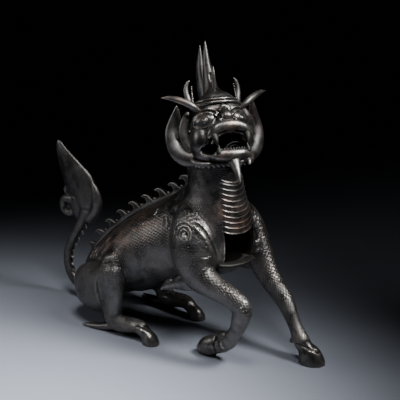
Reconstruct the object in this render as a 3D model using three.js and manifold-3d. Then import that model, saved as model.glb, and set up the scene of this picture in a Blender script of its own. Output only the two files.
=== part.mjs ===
// A cast bronze qilin, a hoofed and scaled beast of East Asian legend, sitting back on its haunches with
// its head thrown up and its mouth open. It is one hollow casting with a cut opening in the chest. Lengths
// are millimetres, +Z is up, the beast faces -Y and its left side is +X. The origin is on the floor under
// the middle of the figure.
import * as THREE from "three";
import { mergeVertices } from "three/addons/utils/BufferGeometryUtils.js";
import Module from "manifold-3d";

// Driving dimensions.
const FIGURE_HEIGHT = 600; // floor to the tip of the tallest horn
const WALL = 6; // thickness of the cast metal round the hollow trunk and neck
const HATCH_TOP_WIDTH = 0.147 * FIGURE_HEIGHT; // the cut opening in the chest, along its upper edge
const HATCH_FOOT_WIDTH = 0.125 * FIGURE_HEIGHT; // the same opening, along its lower edge
const HATCH_HEIGHT = 0.085 * FIGURE_HEIGHT; // from the lower edge to the upper
const HATCH_SILL_Z = 0.33 * FIGURE_HEIGHT; // height of its lower edge above the floor
const HATCH_SLANT = 6; // degrees: the opening stands higher on the beast's right
const SILL_THICKNESS = 5; // the lip that stands out under the opening
const SILL_REACH = 12; // from the back of that lip to its front
const PLATE_COUNT = 11; // the plates down the throat
const PLATE_THICKNESS = 2.6; // how far the lower edge of each plate stands out
const SPINE_COUNT = 9; // hooked spines along the back
const TAIL_SPINE_COUNT = 8; // small spines along the tail
const LOWER_TOOTH_COUNT = 5; // small teeth between the lower fangs

// The pose, the proportions and the carving are shares of the height, counted in modelling units.
const UNITS_TALL = 306.5;
const UNIT = FIGURE_HEIGHT / UNITS_TALL;

const wasm = await Module();
wasm.setup();

// Turns a closed three.js geometry into a solid that can be joined and cut.
function solid(geometry) {
  geometry.deleteAttribute("normal");
  geometry.deleteAttribute("uv");
  const merged = mergeVertices(geometry, 1e-3);
  return new wasm.Manifold(
    new wasm.Mesh({
      numProp: 3,
      vertProperties: new Float32Array(merged.attributes.position.array),
      triVerts: new Uint32Array(merged.index.array),
    }),
  );
}

// Joins a list of solids into one.
function join(solids) {
  return solids.reduce((whole, next) => whole.add(next));
}

// Where row i of n lies along a swept form. A row or two at each end shapes the round caps.
function rowPlace(i, n, [start, end]) {
  const capRows = n > 9 ? 2 : 1;
  if (i <= capRows) return start * (1 - Math.cos((i / capRows) * (Math.PI / 2)));
  if (i >= n - capRows) return 1 - end * (1 - Math.cos(((n - i) / capRows) * (Math.PI / 2)));
  return start + ((i - capRows) / (n - 2 * capRows)) * (1 - start - end);
}

// How much of its full girth a swept form has at t, where its ends close as quarter ellipses.
function capShare(t, [start, end]) {
  const rise = Math.min(1, t / start);
  const fall = Math.min(1, (1 - t) / end);
  return Math.sqrt(Math.max(0, 1 - (1 - rise) ** 2)) * Math.sqrt(Math.max(0, 1 - (1 - fall) ** 2));
}

// A solid form swept along a smooth line. Each station is [x, y, z, half width, half depth] in modelling
// units. The width lies along side, the depth across it. The ends are closed as round caps over the shares
// of the length in blunt. A pinch over 1 draws the section out to two edges, as on a leaf, and one under 1
// squares it.
function sweep(stations, { side = [1, 0, 0], around = 10, rings = 10, blunt = [0.1, 0.1], pinch = 1 } = {}) {
  const line = new THREE.CatmullRomCurve3(
    stations.map(([x, y, z]) => new THREE.Vector3(x, y, z)),
    false,
    "centripetal",
  );
  const girth = new THREE.CatmullRomCurve3(stations.map(([, , , w, d]) => new THREE.Vector3(w, d, 0)));
  const widthwise = new THREE.Vector3(...side);
  const form = new THREE.SphereGeometry(1, around, rings);
  const place = form.attributes.position;
  for (let i = 0; i < place.count; i++) {
    const row = Math.round((Math.acos(THREE.MathUtils.clamp(place.getY(i), -1, 1)) / Math.PI) * rings);
    const t = rowPlace(row, rings, blunt);
    const cap = row === 0 || row === rings ? 0 : capShare(t, blunt);
    const tangent = line.getTangent(THREE.MathUtils.clamp(t, 0.002, 0.998));
    const across = widthwise.clone().addScaledVector(tangent, -widthwise.dot(tangent)).normalize();
    const deep = tangent.clone().cross(across);
    const angle = Math.atan2(place.getZ(i), place.getX(i));
    const size = girth.getPoint(t);
    const wide = Math.cos(angle) * size.x * cap;
    const thick = Math.sign(Math.sin(angle)) * Math.abs(Math.sin(angle)) ** pinch * size.y * cap;
    const point = line.getPoint(t).addScaledVector(across, wide).addScaledVector(deep, thick);
    place.setXYZ(i, point.x * UNIT, point.y * UNIT, point.z * UNIT);
  }
  return solid(form);
}

// An egg at a place, with its three half sizes, all in modelling units, turned by Euler angles in degrees.
function egg(at, half, { turn = [0, 0, 0], around = 10, rings = 7 } = {}) {
  const form = new THREE.SphereGeometry(1, around, rings).rotateX(Math.PI / 2).scale(...half);
  const [rx, ry, rz] = turn.map(THREE.MathUtils.degToRad);
  form.applyMatrix4(new THREE.Matrix4().makeRotationFromEuler(new THREE.Euler(rx, ry, rz)));
  return solid(form.translate(...at).scale(UNIT, UNIT, UNIT));
}

// How far a ray from a place goes, in modelling units, before it leaves an egg for good. It is 0 if the ray
// misses the egg.
function exitDistance(from, ray, { at, half }) {
  const p = from.map((value, i) => (value - at[i]) / half[i]);
  const d = ray.map((value, i) => value / half[i]);
  const dot = (u, v) => u[0] * v[0] + u[1] * v[1] + u[2] * v[2];
  const [a, b, c] = [dot(d, d), dot(p, d), dot(p, p) - 1];
  const root = b * b - a * c;
  return root < 0 ? 0 : Math.max(0, (-b + Math.sqrt(root)) / a);
}

// One skin round a cluster of eggs, as seen from a place inside it. Its rings circle the Y axis.
function cluster(from, eggs, { around, rings }) {
  const form = new THREE.SphereGeometry(1, around, rings).rotateX(Math.PI / 2);
  const place = form.attributes.position;
  for (let i = 0; i < place.count; i++) {
    const ray = [place.getX(i), place.getY(i), place.getZ(i)];
    const reach = Math.max(...eggs.map((one) => exitDistance(from, ray, one)));
    place.setXYZ(i, ...from.map((value, k) => (value + ray[k] * reach) * UNIT));
  }
  return solid(form);
}

// A flat form in the middle plane that thins towards its points. An outline point is [y, z, half thickness].
function fin(outline) {
  const shape = new THREE.Shape(outline.map(([y, z]) => new THREE.Vector2(y, z)));
  const form = new THREE.ExtrudeGeometry(shape, { depth: 1, bevelEnabled: false });
  const place = form.attributes.position;
  for (let i = 0; i < place.count; i++) {
    const [y, z] = [place.getX(i), place.getY(i)];
    const match = outline.find(([py, pz]) => Math.hypot(py - y, pz - z) < 1e-4);
    const x = match[2] * (place.getZ(i) > 0.5 ? 1 : -1);
    place.setXYZ(i, x * UNIT, y * UNIT, z * UNIT);
  }
  return solid(form);
}

// The same stations on the side of the body that hand names: 1 for the beast's left, -1 for its right.
function onSide(hand, stations) {
  return stations.map(([x, ...rest]) => [hand * x, ...rest]);
}

// The trunk, from the tail root up to the breast, and the neck, from the breast up into the head.
const TRUNK = [
  [0, 160, 32, 7, 8],
  [0, 147, 38, 17, 15],
  [0, 130, 47, 29, 26],
  [0, 108, 59, 37, 33],
  [0, 80, 77, 41, 38],
  [0, 50, 95.5, 42, 40],
  [0, 18, 112, 41, 41],
  [0, -8, 118, 38, 38],
  [0, -26, 117, 32, 33],
];
const NECK = [
  [0, -10, 84, 24, 20],
  [0, -12, 96, 35, 33],
  [0, -14, 112, 40, 38],
  [0, -15, 130, 39, 37],
  [0, -16, 150, 33, 33],
  [0, -16, 168, 27, 28.5],
  [0, -16, 186, 23.5, 25.5],
  [0, -18, 212, 21, 22],
];

// The withers fill the bend between the back and the neck, and the nape runs from them up behind the skull.
const WITHERS = [
  [0, 44, 122, 30, 20],
  [0, 18, 138, 27, 22],
  [0, 0, 160, 20, 18],
  [0, -8, 182, 16, 14],
];

const NAPE = [
  [0, 2, 174, 15, 13],
  [0, 2, 192, 15, 14],
  [1, 0, 210, 17, 15],
  [4, -4, 226, 19, 14],
];

// The same stations with the wall taken off them, for the hollow inside.
function inside(stations) {
  const wall = WALL / UNIT;
  return stations.map(([x, y, z, w, d]) => [x, y, z, w - wall, d - wall]);
}

function trunkAndNeck() {
  return [
    sweep(TRUNK, { around: 15, rings: 11, blunt: [0.1, 0.14] }),
    sweep(NECK, { around: 16, rings: 9, blunt: [0.1, 0.08] }),
    sweep(WITHERS, { around: 12, rings: 6 }),
    sweep(NAPE, { around: 8, rings: 5 }),
  ];
}

function hollow() {
  return [
    sweep(inside(TRUNK.slice(1)), { around: 10, rings: 7, blunt: [0.16, 0.16] }),
    sweep(inside(NECK.slice(1)), { around: 12, rings: 7, blunt: [0.14, 0.1] }),
  ];
}

// The neck's centre and half sizes at a height, in modelling units.
function neckAt(z) {
  const above = Math.max(1, NECK.findIndex((station) => station[2] >= z));
  const [low, high] = [NECK[above - 1], NECK[above]];
  const share = (z - low[2]) / (high[2] - low[2]);
  return low.map((value, i) => THREE.MathUtils.lerp(value, high[i], share));
}

// A point on the front of the neck, at a height, an angle from the middle and a distance off the surface.
function throatPoint(z, angle, outward) {
  const [, y, , w, d] = neckAt(z);
  return [Math.sin(angle) * (w + outward), y - Math.cos(angle) * (d + outward), z];
}

// The plates down the throat lap over each other like shingles: one slab, stepped at each lower edge.
const THROAT_TOP = 183;
const THROAT_FOOT = 122.5;
const THROAT_HALF_ANGLES = [33, 40]; // degrees either side of the middle, at the foot and at the top
const PLATE_SAG = 2.5; // how far each plate hangs lower in the middle than at its ends
const SLAB_COLUMNS = 5;
const SLAB_SINK = 4; // how deep the slab is set into the neck
function throatPlates() {
  const form = new THREE.BoxGeometry(1, 1, 1, SLAB_COLUMNS, PLATE_COUNT * 2 - 1, 1);
  const place = form.attributes.position;
  const pitch = (THROAT_TOP - THROAT_FOOT) / PLATE_COUNT;
  for (let i = 0; i < place.count; i++) {
    const row = Math.round((place.getY(i) + 0.5) * (PLATE_COUNT * 2 - 1));
    const height = THROAT_FOOT + Math.floor(row / 2) * pitch + (row % 2) * pitch * 0.86;
    const share = (height - THROAT_FOOT) / (THROAT_TOP - THROAT_FOOT);
    const reach = THREE.MathUtils.degToRad(THREE.MathUtils.lerp(...THROAT_HALF_ANGLES, share));
    const across = place.getX(i) * 2;
    const face = row % 2 === 0 ? PLATE_THICKNESS / UNIT : 0.2;
    const outward = place.getZ(i) < 0 ? -SLAB_SINK : face * (Math.abs(across) > 0.95 ? 0.1 : 1);
    const sag = PLATE_SAG * across ** 2;
    place.setXYZ(i, ...throatPoint(height + sag, across * reach, outward).map((value) => value * UNIT));
  }
  return solid(form);
}

// The cut opening in the chest, as a block that runs from in front of the breast into the hollow.
const HATCH_CUT_FROM = 70; // how far in front of the origin the cut starts
const HATCH_CUT_TO = 26; // and where it ends, inside the hollow
function hatchCut() {
  const [top, foot] = [HATCH_TOP_WIDTH / 2, HATCH_FOOT_WIDTH / 2];
  const outline = new THREE.Shape();
  outline.moveTo(-foot, 0);
  outline.quadraticCurveTo(0, -SILL_THICKNESS, foot, 0);
  outline.lineTo(top, HATCH_HEIGHT);
  outline.quadraticCurveTo(0, HATCH_HEIGHT - 2 * SILL_THICKNESS, -top, HATCH_HEIGHT);
  outline.closePath();
  const depth = (HATCH_CUT_FROM - HATCH_CUT_TO) * UNIT;
  const block = new THREE.ExtrudeGeometry(outline, { depth, bevelEnabled: false, curveSegments: 4 });
  block.rotateZ(THREE.MathUtils.degToRad(-HATCH_SLANT)).rotateX(Math.PI / 2);
  return solid(block.translate(0, -HATCH_CUT_TO * UNIT, HATCH_SILL_Z));
}

function hatchSill() {
  const angles = [-40, -28, -14, 0, 14, 28, 40];
  const thick = SILL_THICKNESS / UNIT / 2;
  const reach = SILL_REACH / UNIT / 2;
  const slant = Math.tan(THREE.MathUtils.degToRad(HATCH_SLANT));
  const z = HATCH_SILL_Z / UNIT - thick - 1;
  const stations = angles.map((angle) => {
    const [x, y] = throatPoint(z, THREE.MathUtils.degToRad(angle), 0.6);
    return [x, y, z - x * slant, thick, Math.abs(angle) === 40 ? reach * 0.6 : reach];
  });
  return sweep(stations, { side: [0, 0, 1], around: 8, rings: 9, blunt: [0.05, 0.05], pinch: 0.6 });
}

// The right foreleg is bent and paws the ground with its toe turned back. The left one is stretched out.
const RIGHT_FORELEG = [
  [-26, 4, 150, 7, 8],
  [-31, -5, 141, 13, 18],
  [-34, -13, 126, 16, 24],
  [-36, -16, 107, 16, 23],
  [-36, -24, 91, 13.5, 18],
  [-35, -41, 83, 11, 13],
  [-33, -59, 76.5, 9, 11],
  [-30.5, -72, 67, 8.8, 11],
  [-29, -69, 53, 8, 9.5],
  [-27, -63, 39, 7, 7.8],
  [-24.5, -55, 27, 8, 8.5],
  [-23, -44, 16, 7.3, 7.8],
  [-22, -33, 10, 7.5, 8.6],
];
const RIGHT_FORE_HOOF = [
  [-22, -37, 10, 6.5, 8],
  [-22, -32, 9.5, 8.6, 10],
  [-22, -23, 7, 8.4, 9],
  [-22, -12, 2, 5, 5],
];
const RIGHT_ERGOT = [
  [-24.5, -52, 29, 5, 5],
  [-23.5, -45, 29, 4.5, 4.5],
  [-23, -37, 26.5, 3, 3.4],
];
const LEFT_FORELEG = [
  [25, 2, 150, 7, 8],
  [30, -11, 141, 13, 17],
  [33, -25, 127, 15, 21],
  [35, -37, 110, 15, 18],
  [35, -47, 92, 13, 15.5],
  [33, -60, 74, 10.5, 12.5],
  [31, -77, 59, 9, 10.2],
  [29, -87, 47, 7.5, 8.5],
  [27, -96, 33, 6.6, 7.2],
  [26, -104, 21, 8, 9.2],
  [26, -112, 11, 7.5, 8],
];
const LEFT_ERGOT = [
  [27, -101, 24, 5, 5],
  [28, -95, 19, 4.5, 4],
  [28, -90, 14, 2, 2],
];

// The broad flame that streams back and down from the elbow, with a smaller tongue under it.
const ELBOW_FLAME = [
  [0, -14, 10, 3, 10],
  [1, -3, 1, 3.4, 9],
  [1, 8, -10, 2.8, 7],
  [2, 17, -18, 1.8, 5],
  [2, 24, -24, 0.5, 1],
];
const ELBOW_TONGUE = [
  [0, -12, -4, 3, 8],
  [1, 0, -16, 2.4, 5],
  [1, 9, -24, 0.5, 1],
];
const ELBOWS = { right: [-37, -6, 86], left: [36, -24, 84] };

function elbowFlame([x, y, z], hand) {
  return [ELBOW_FLAME, ELBOW_TONGUE].map((path) =>
    sweep(path.map(([dx, dy, dz, w, d]) => [x + hand * dx, y + dy, z + dz, w, d]), {
      around: 6,
      rings: 6,
      blunt: [0.1, 0.05],
      pinch: 1.2,
    }),
  );
}

// A hoof that stands on the floor: a squat form that widens to its sole. Heading is the way the toe points.
function hoof([x, y], heading, { length, width, height }) {
  const angle = THREE.MathUtils.degToRad(heading);
  const [hx, hy] = [Math.sin(angle), -Math.cos(angle)];
  const rows = [
    [-3, 1.08, 0.6, 0.5],
    [-1.5, 0.8, 0.82, 0.72],
    [0.6, 0.4, 0.95, 0.88],
    [2, 0, 1, 1],
    [2, -0.25, 0.96, 0.96],
  ];
  const stations = rows.map(([shift, rise, wide, long]) => [
    x + hx * shift,
    y + hy * shift,
    rise * height,
    width * wide,
    length * long,
  ]);
  return sweep(stations, { side: [-hy, hx, 0], around: 8, rings: 6, blunt: [0.16, 0.1] });
}

function forelegs() {
  return [
    sweep(RIGHT_FORELEG, { around: 9, rings: 13, blunt: [0.06, 0.03] }),
    sweep(LEFT_FORELEG, { around: 9, rings: 11, blunt: [0.06, 0.04] }),
    sweep(RIGHT_FORE_HOOF, { around: 8, rings: 5, blunt: [0.16, 0.12] }),
    hoof([26, -115], 8, { length: 14.5, width: 11.5, height: 16 }),
    sweep(RIGHT_ERGOT, { around: 5, rings: 4, blunt: [0.1, 0.1] }),
    sweep(LEFT_ERGOT, { around: 5, rings: 4, blunt: [0.1, 0.1] }),
    ...elbowFlame(ELBOWS.right, -1),
    ...elbowFlame(ELBOWS.left, 1),
  ];
}

// The hind legs are folded under: the haunch rises forward to the knee, the shin drops to the hock, and the
// foot lies forward along the floor. A long spur streams back from the hock.
const HAUNCH = [
  [17, 145, 34, 8, 9],
  [28, 134, 31, 13, 19],
  [34, 122, 37, 16, 27],
  [38, 105, 46, 16, 28],
  [41, 92, 58, 14, 21],
  [42, 84, 70, 11, 13],
];
const SHIN = [
  [42, 84, 82, 9, 10],
  [43, 83, 69, 11.5, 14],
  [43, 83, 50, 10.5, 13],
  [43, 84, 31, 9, 10.5],
  [43, 84, 17, 9, 10],
  [42, 77, 12, 8.2, 9.5],
  [41, 64, 13.5, 8, 8.5],
  [40, 51, 15, 7.5, 7.5],
  [40, 41, 9, 7, 7.5],
];
const SPUR = [
  [42, 82, 8, 5, 5],
  [44, 96, 4, 5.5, 4.2],
  [47, 108, 2.5, 4.5, 3.2],
  [51, 121, 2, 0.8, 0.8],
];

function hindLegs() {
  return [-1, 1].flatMap((hand) => {
    const nearer = hand === 1 ? -3 : 0; // the left hind foot is set a little closer to the middle
    const place = (stations) => onSide(hand, stations).map(([x, ...rest]) => [x + nearer, ...rest]);
    return [
      sweep(place(HAUNCH), { around: 10, rings: 7, blunt: [0.12, 0.12] }),
      sweep(place(SHIN), { around: 8, rings: 11, blunt: [0.06, 0.05] }),
      sweep(place(SPUR), { around: 5, rings: 5, blunt: [0.08, 0.06] }),
      hoof([hand * 40 + nearer, 38], 0, { length: 10, width: 9, height: 12 }),
    ];
  });
}

// The tail rises in an S from the rump to a tuft: a tall flame, a lock round its front and two curls behind.
const TAIL = [
  [0, 152, 34, 9, 9],
  [0, 164, 24, 7.5, 8],
  [0, 174, 19, 6, 6.5],
  [0, 184, 27, 5, 5.5],
  [0, 187.5, 39, 5, 5.5],
  [0, 186, 53, 5, 5.5],
  [0, 180, 67, 5, 5.5],
  [0, 169, 85, 5, 5.5],
  [0, 160, 101, 6.5, 7.5],
  [0, 153, 114, 8, 9],
];
const TAIL_FLAME = [
  [0, 156, 104, 7, 12],
  [1, 157, 119, 9, 18],
  [1, 165, 134, 8, 19],
  [0, 175, 149, 6, 14],
  [-1, 186, 164, 3.6, 8],
  [-1, 196, 179, 0.6, 1],
];
const TAIL_FRONT_LOCK = [
  [0, 160, 95, 5, 6],
  [0, 148, 104, 6, 7],
  [0, 142, 117, 6, 6.5],
  [0, 144, 131, 4, 4.5],
  [0, 150, 141, 1, 1.5],
];

// A lock that runs back from its root and rolls under into a curl.
const CURL_STEPS = 7;
const CURL_TURN = 1.45 * Math.PI;
function curl({ root, reach, rise, radius, girth }) {
  const [x, y, z] = root;
  const roll = Array.from({ length: CURL_STEPS }, (_, i) => {
    const share = i / (CURL_STEPS - 1);
    const angle = Math.PI / 2 - share * CURL_TURN;
    const arm = radius * (1 - 0.4 * share);
    const fat = girth * (1 - 0.35 * share);
    const [cy, cz] = [y + reach, z + rise - radius];
    return [x, cy + Math.cos(angle) * arm, cz + Math.sin(angle) * arm, fat, fat * 0.8];
  });
  const stalk = [root, [x, y + reach / 2, z + rise * 0.8]].map((at) => [...at, girth, girth]);
  return sweep([...stalk, ...roll], { around: 6, rings: 10, blunt: [0.06, 0.06] });
}

// A row of hooked spines along a line in the middle plane. Each spine leans the way the line runs.
const HOOK = [
  [-0.42, 0],
  [0, 0.68],
  [0.58, 1],
  [0.22, 0.5],
  [0.2, 0],
];
function spineRow(line, { from, to, count, size, half, foot, sink, nubs }) {
  const offset = (t, along, out) => {
    const point = line.getPointAt(t);
    const run = line.getTangentAt(t);
    return [point.y + run.y * along - run.z * out, point.z + run.z * along + run.y * out];
  };
  const top = [];
  for (let i = 0; i < count; i++) {
    const t = THREE.MathUtils.lerp(from, to, i / (count - 1));
    const tall = THREE.MathUtils.lerp(...size, i / (count - 1));
    for (const [along, out] of HOOK) {
      top.push([...offset(t, along * tall, foot + out * tall), half * (1 - 0.8 * out)]);
    }
    const gap = THREE.MathUtils.lerp(from, to, (i + 0.62) / (count - 1));
    if (nubs && i < count - 1) top.push([...offset(gap, 0, foot + 0.22 * tall), half * 0.6]);
  }
  const steps = 8;
  const under = Array.from({ length: steps + 1 }, (_, i) => {
    const t = THREE.MathUtils.lerp(to + 0.05, Math.max(0, from - 0.03), i / steps);
    return [...offset(Math.min(1, t), 0, -sink), half];
  });
  return fin([...under, ...top].reverse());
}

// The line of the back in the middle plane, from the nape to the tail root.
const BACK_LINE = [
  [8, 180],
  [13, 170],
  [27, 157],
  [45, 146.5],
  [68, 133],
  [90, 119],
  [110, 103.5],
  [128, 87],
  [141, 72],
  [152, 56],
  [160, 42],
];
const RIDGE_HEIGHT = 2.6; // the band along the back that the spines stand on
const SPINE_SIZES = [13.5, 10.5]; // from the nape to the rump

function lineOf(points) {
  return new THREE.CatmullRomCurve3(points.map(([y, z]) => new THREE.Vector3(0, y, z)));
}

function dorsalCrest() {
  const back = lineOf(BACK_LINE);
  const band = BACK_LINE.map(([y, z], i) => [0, y, z, i % (BACK_LINE.length - 1) ? 4 : 2, RIDGE_HEIGHT]);
  const row = {
    from: 0.06,
    to: 0.86,
    count: SPINE_COUNT,
    size: SPINE_SIZES,
    half: 2.2,
    foot: RIDGE_HEIGHT * 0.6,
    sink: 5,
    nubs: true,
  };
  return [sweep(band, { around: 6, rings: 11, blunt: [0.03, 0.03] }), spineRow(back, row)];
}

function tail() {
  const row = {
    from: 0.1,
    to: 0.86,
    count: TAIL_SPINE_COUNT,
    size: [5, 3.6],
    half: 1.5,
    foot: 4.4,
    sink: 0,
    nubs: false,
  };
  const line = lineOf(TAIL.slice(2, 9).map(([, y, z]) => [-y, z]).reverse());
  return [
    sweep(TAIL, { around: 7, rings: 12, blunt: [0.05, 0.05] }),
    sweep(TAIL_FLAME, { around: 8, rings: 6, blunt: [0.12, 0.05], pinch: 1.3 }),
    sweep(TAIL_FRONT_LOCK, { around: 7, rings: 7, pinch: 1.2 }),
    curl({ root: [0, 158, 112], reach: 27, rise: 0, radius: 9.5, girth: 7 }),
    curl({ root: [0, 164, 127], reach: 17, rise: 2, radius: 5, girth: 5 }),
    spineRow(line, row).mirror([0, 1, 0]),
  ];
}

// The head is modelled facing -Y about its own centre, then turned right, tipped up and set on the neck.
const HEAD_PLACE = [0, -21, 229];
const HEAD_TURN = -32; // degrees, towards the beast's right
const HEAD_LIFT = 28; // degrees, muzzle up
const HEAD_ROLL = 1.5; // degrees, its left side down

function placeHead(part) {
  const at = HEAD_PLACE.map((value) => value * UNIT);
  return part.rotate([0, HEAD_ROLL, 0]).rotate([-HEAD_LIFT, 0, 0]).rotate([0, 0, HEAD_TURN]).translate(at);
}

// The cap on the crown, which runs up into the foremost horn.
const CAP = [
  [0, 2, 22, 24, 20],
  [0, 1, 30, 19, 16],
  [0, 2, 37, 10, 9],
  [0, 2.5, 45, 3, 3],
];

// The eggs whose shared skin is the head: skull, brow, back of the jaw, muzzle, lower jaw and cheeks.
const HEAD_CORE = [0, -3, -3];
const HEAD_EGGS = [
  { at: [0, 6, 4], half: [29, 21, 27] },
  { at: [0, -6, 19], half: [23, 14, 11] },
  { at: [0, 1, -22], half: [29, 20, 13] },
  { at: [0, -18, -2], half: [19.5, 12.5, 9] },
  { at: [0, -14, -29.5], half: [19.5, 20, 8] },
  { at: [-20, -1, -9], half: [11.5, 15, 17] },
  { at: [20, -1, -9], half: [11.5, 15, 17] },
];

function skull() {
  const cap = sweep(CAP, { around: 10, rings: 5, blunt: [0.2, 0.06] });
  return [cluster(HEAD_CORE, HEAD_EGGS, { around: 18, rings: 12 }), cap];
}

const BROW = [
  [4, -23, 15, 2.5, 3],
  [11, -20, 21, 3, 3.6],
  [21, -12, 20, 3, 3.6],
  [29, -2, 11, 2, 2],
];
const NOSE = [
  [0, -17, 18, 5, 4],
  [0, -23, 11, 6, 5],
  [0, -27.5, 4, 10, 5],
];
const UPPER_LIP = [
  [-20, -22, -12.5],
  [-18.5, -26.5, -9],
  [-11, -30, -5],
  [0, -30.5, -4],
  [11, -30, -5],
  [18.5, -26.5, -9],
  [20, -22, -12.5],
];
const LOWER_LIP = [
  [-18, -19, -26.5],
  [-15.5, -26, -28.5],
  [-8, -30, -29],
  [0, -31, -29],
  [8, -30, -29],
  [15.5, -26, -28.5],
  [18, -19, -26.5],
];

function face() {
  const lip = { side: [0, 0, 1], around: 6, rings: 9, blunt: [0.06, 0.06] };
  const forms = [
    sweep(NOSE, { around: 7, rings: 5 }),
    egg([0, -19.5, 20], [5, 4, 5], { around: 6, rings: 4 }), // whorl on the forehead
    sweep(UPPER_LIP.map((at) => [...at, 4.5, 5]), lip),
    sweep(LOWER_LIP.map((at) => [...at, 4.2, 4.4]), lip),
  ];
  for (const hand of [-1, 1]) {
    const eye = { turn: [0, hand * 18, hand * 30], around: 8, rings: 6 };
    forms.push(sweep(onSide(hand, BROW), { side: [0, -1, 0], around: 5, rings: 5 }));
    forms.push(egg([hand * 17, -9, 10], [11, 7, 6.5], eye));
  }
  return forms;
}

function mouthCut() {
  return [
    egg([0, -24, -16.5], [17.5, 24, 9], { around: 10, rings: 6 }),
    egg([-22, -15, -20], [7, 9, 5.5], { around: 6, rings: 4 }),
    egg([22, -15, -20], [7, 9, 5.5], { around: 6, rings: 4 }),
  ];
}

const TONGUE = [
  [0, -4, -25, 8, 4],
  [0, -15, -22, 9, 3.5],
  [0, -22, -19, 8.5, 3.2],
  [0, -27, -21, 5, 2.4],
];

function tooth([x, y, z], rise, girth) {
  const stations = [
    [x, y, z, girth, girth],
    [x, y, z + rise * 0.5, girth * 0.8, girth * 0.8],
    [x, y, z + rise, 0.5, 0.5],
  ];
  return sweep(stations, { around: 4, rings: 3, blunt: [0.05, 0.1] });
}

function mouthParts() {
  const forms = [sweep(TONGUE, { around: 6, rings: 6, blunt: [0.1, 0.12] })];
  for (const hand of [-1, 1]) {
    forms.push(tooth([hand * 16.6, -27, -9], -11, 2.6));
    forms.push(tooth([hand * 13, -27.5, -26], 8.5, 2.2));
  }
  for (let i = 0; i < LOWER_TOOTH_COUNT; i++) {
    const across = THREE.MathUtils.lerp(-1, 1, i / (LOWER_TOOTH_COUNT - 1));
    forms.push(tooth([across * 8, -29.5 + across ** 2, -26.5], 4, 2));
  }
  return forms;
}

// The ears, the curled locks beside the cap, the broad locks behind the cheeks and the ruff under the jaw.
const EAR = [
  [20, -3, 18, 4, 6],
  [28, -3, 23, 4, 7.5],
  [37, -1, 28, 3.2, 7.5],
  [46, 2, 33, 2, 5],
  [54, 5, 36.5, 0.5, 0.7],
];
const TEMPLE_LOCK = [
  [21, 4, 22, 4, 4.5],
  [25, 6, 32, 3.6, 4.2],
  [27, 7, 42, 3.2, 3.6],
  [25, 6, 50, 2.4, 2.8],
  [20.5, 4, 51, 1.4, 1.6],
];
const CHEEK_LOCK = [
  [23, 12, -22, 8, 8],
  [34, 16, -18, 7, 9],
  [41, 17, -8, 6, 9],
  [43.5, 15, 4, 5, 7],
  [44, 9, 16, 3.6, 4.5],
  [43.5, 3, 28, 0.7, 0.8],
];
const INNER_LOCK = [
  [26, 10, -16, 4, 4],
  [33, 11, -7, 4, 4.5],
  [36, 10, 4, 3, 3.6],
  [35, 7, 14, 0.8, 0.8],
];
const RUFF = [
  [-31, 8, -14],
  [-31, 5, -24],
  [-24, -3, -32],
  [-12, -9, -35.5],
  [0, -10, -36],
  [12, -9, -35.5],
  [24, -3, -32],
  [31, 5, -24],
  [31, 8, -14],
];

function mane() {
  const leaf = { side: [0, 1, 0], around: 6, blunt: [0.08, 0.05] };
  const forms = [sweep(RUFF.map((at) => [...at, 4.2, 4]), { ...leaf, around: 5, rings: 11 })];
  for (const hand of [-1, 1]) {
    forms.push(sweep(onSide(hand, EAR), { ...leaf, side: [0, 0, 1], rings: 6, pinch: 1.2 }));
    forms.push(sweep(onSide(hand, CHEEK_LOCK), { ...leaf, rings: 8 }));
    forms.push(sweep(onSide(hand, INNER_LOCK), { ...leaf, around: 5, rings: 5 }));
    forms.push(sweep(onSide(hand, TEMPLE_LOCK), { ...leaf, around: 5, rings: 7 }));
  }
  return forms;
}

// Three horns rise one behind the other from the crown, the foremost a thin spike.
const FRONT_HORN = [
  [0, 1, 38, 3, 4],
  [0, -2, 46, 2.4, 3.2],
  [0, -5, 55, 1.4, 2],
  [0, -6.3, 62, 0.5, 0.6],
];
const MAIN_HORN = [
  [0, 12, 28, 7, 9],
  [0, 10, 46, 6, 9],
  [0, 8, 62, 4.8, 6.5],
  [0, 6, 77, 3, 4.2],
  [0, 5, 90.5, 0.7, 0.9],
];
const REAR_HORN = [
  [0, 16, 14, 6, 9],
  [0, 27, 30, 5.5, 10],
  [0, 33, 50, 5, 9],
  [0, 31, 70, 3.6, 6],
  [0, 24, 88, 0.7, 0.9],
];

function horns() {
  const shape = { around: 7, rings: 6, blunt: [0.08, 0.04] };
  const spike = sweep(FRONT_HORN, { ...shape, around: 5, rings: 5 });
  return [spike, sweep(MAIN_HORN, shape), sweep(REAR_HORN, shape)];
}

// The beard hangs from the chin in one pointed lock.
const BEARD = [
  [0, -18, -33, 9, 7],
  [0, -24, -40, 8.5, 6],
  [0, -30, -47, 5.5, 4],
  [0, -35, -55, 0.8, 0.8],
];

// The whole casting: every form joined, the hollow and the openings cut, and the soles trimmed flat.
function figure() {
  const headForms = join([...skull(), ...face()]).subtract(join(mouthCut()));
  const beard = sweep(BEARD, { around: 7, rings: 5 });
  const head = join([headForms, beard, ...mouthParts(), ...mane(), ...horns()]);
  const limbs = [...forelegs(), ...hindLegs(), ...tail(), ...dorsalCrest()];
  const outside = join([...trunkAndNeck(), throatPlates(), ...limbs, placeHead(head)]);
  const floor = new THREE.BoxGeometry(2 * FIGURE_HEIGHT, 2 * FIGURE_HEIGHT, FIGURE_HEIGHT / 10);
  floor.translate(0, 0, -FIGURE_HEIGHT / 20);
  return outside.subtract(join(hollow())).subtract(hatchCut()).add(hatchSill()).subtract(solid(floor));
}

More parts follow.
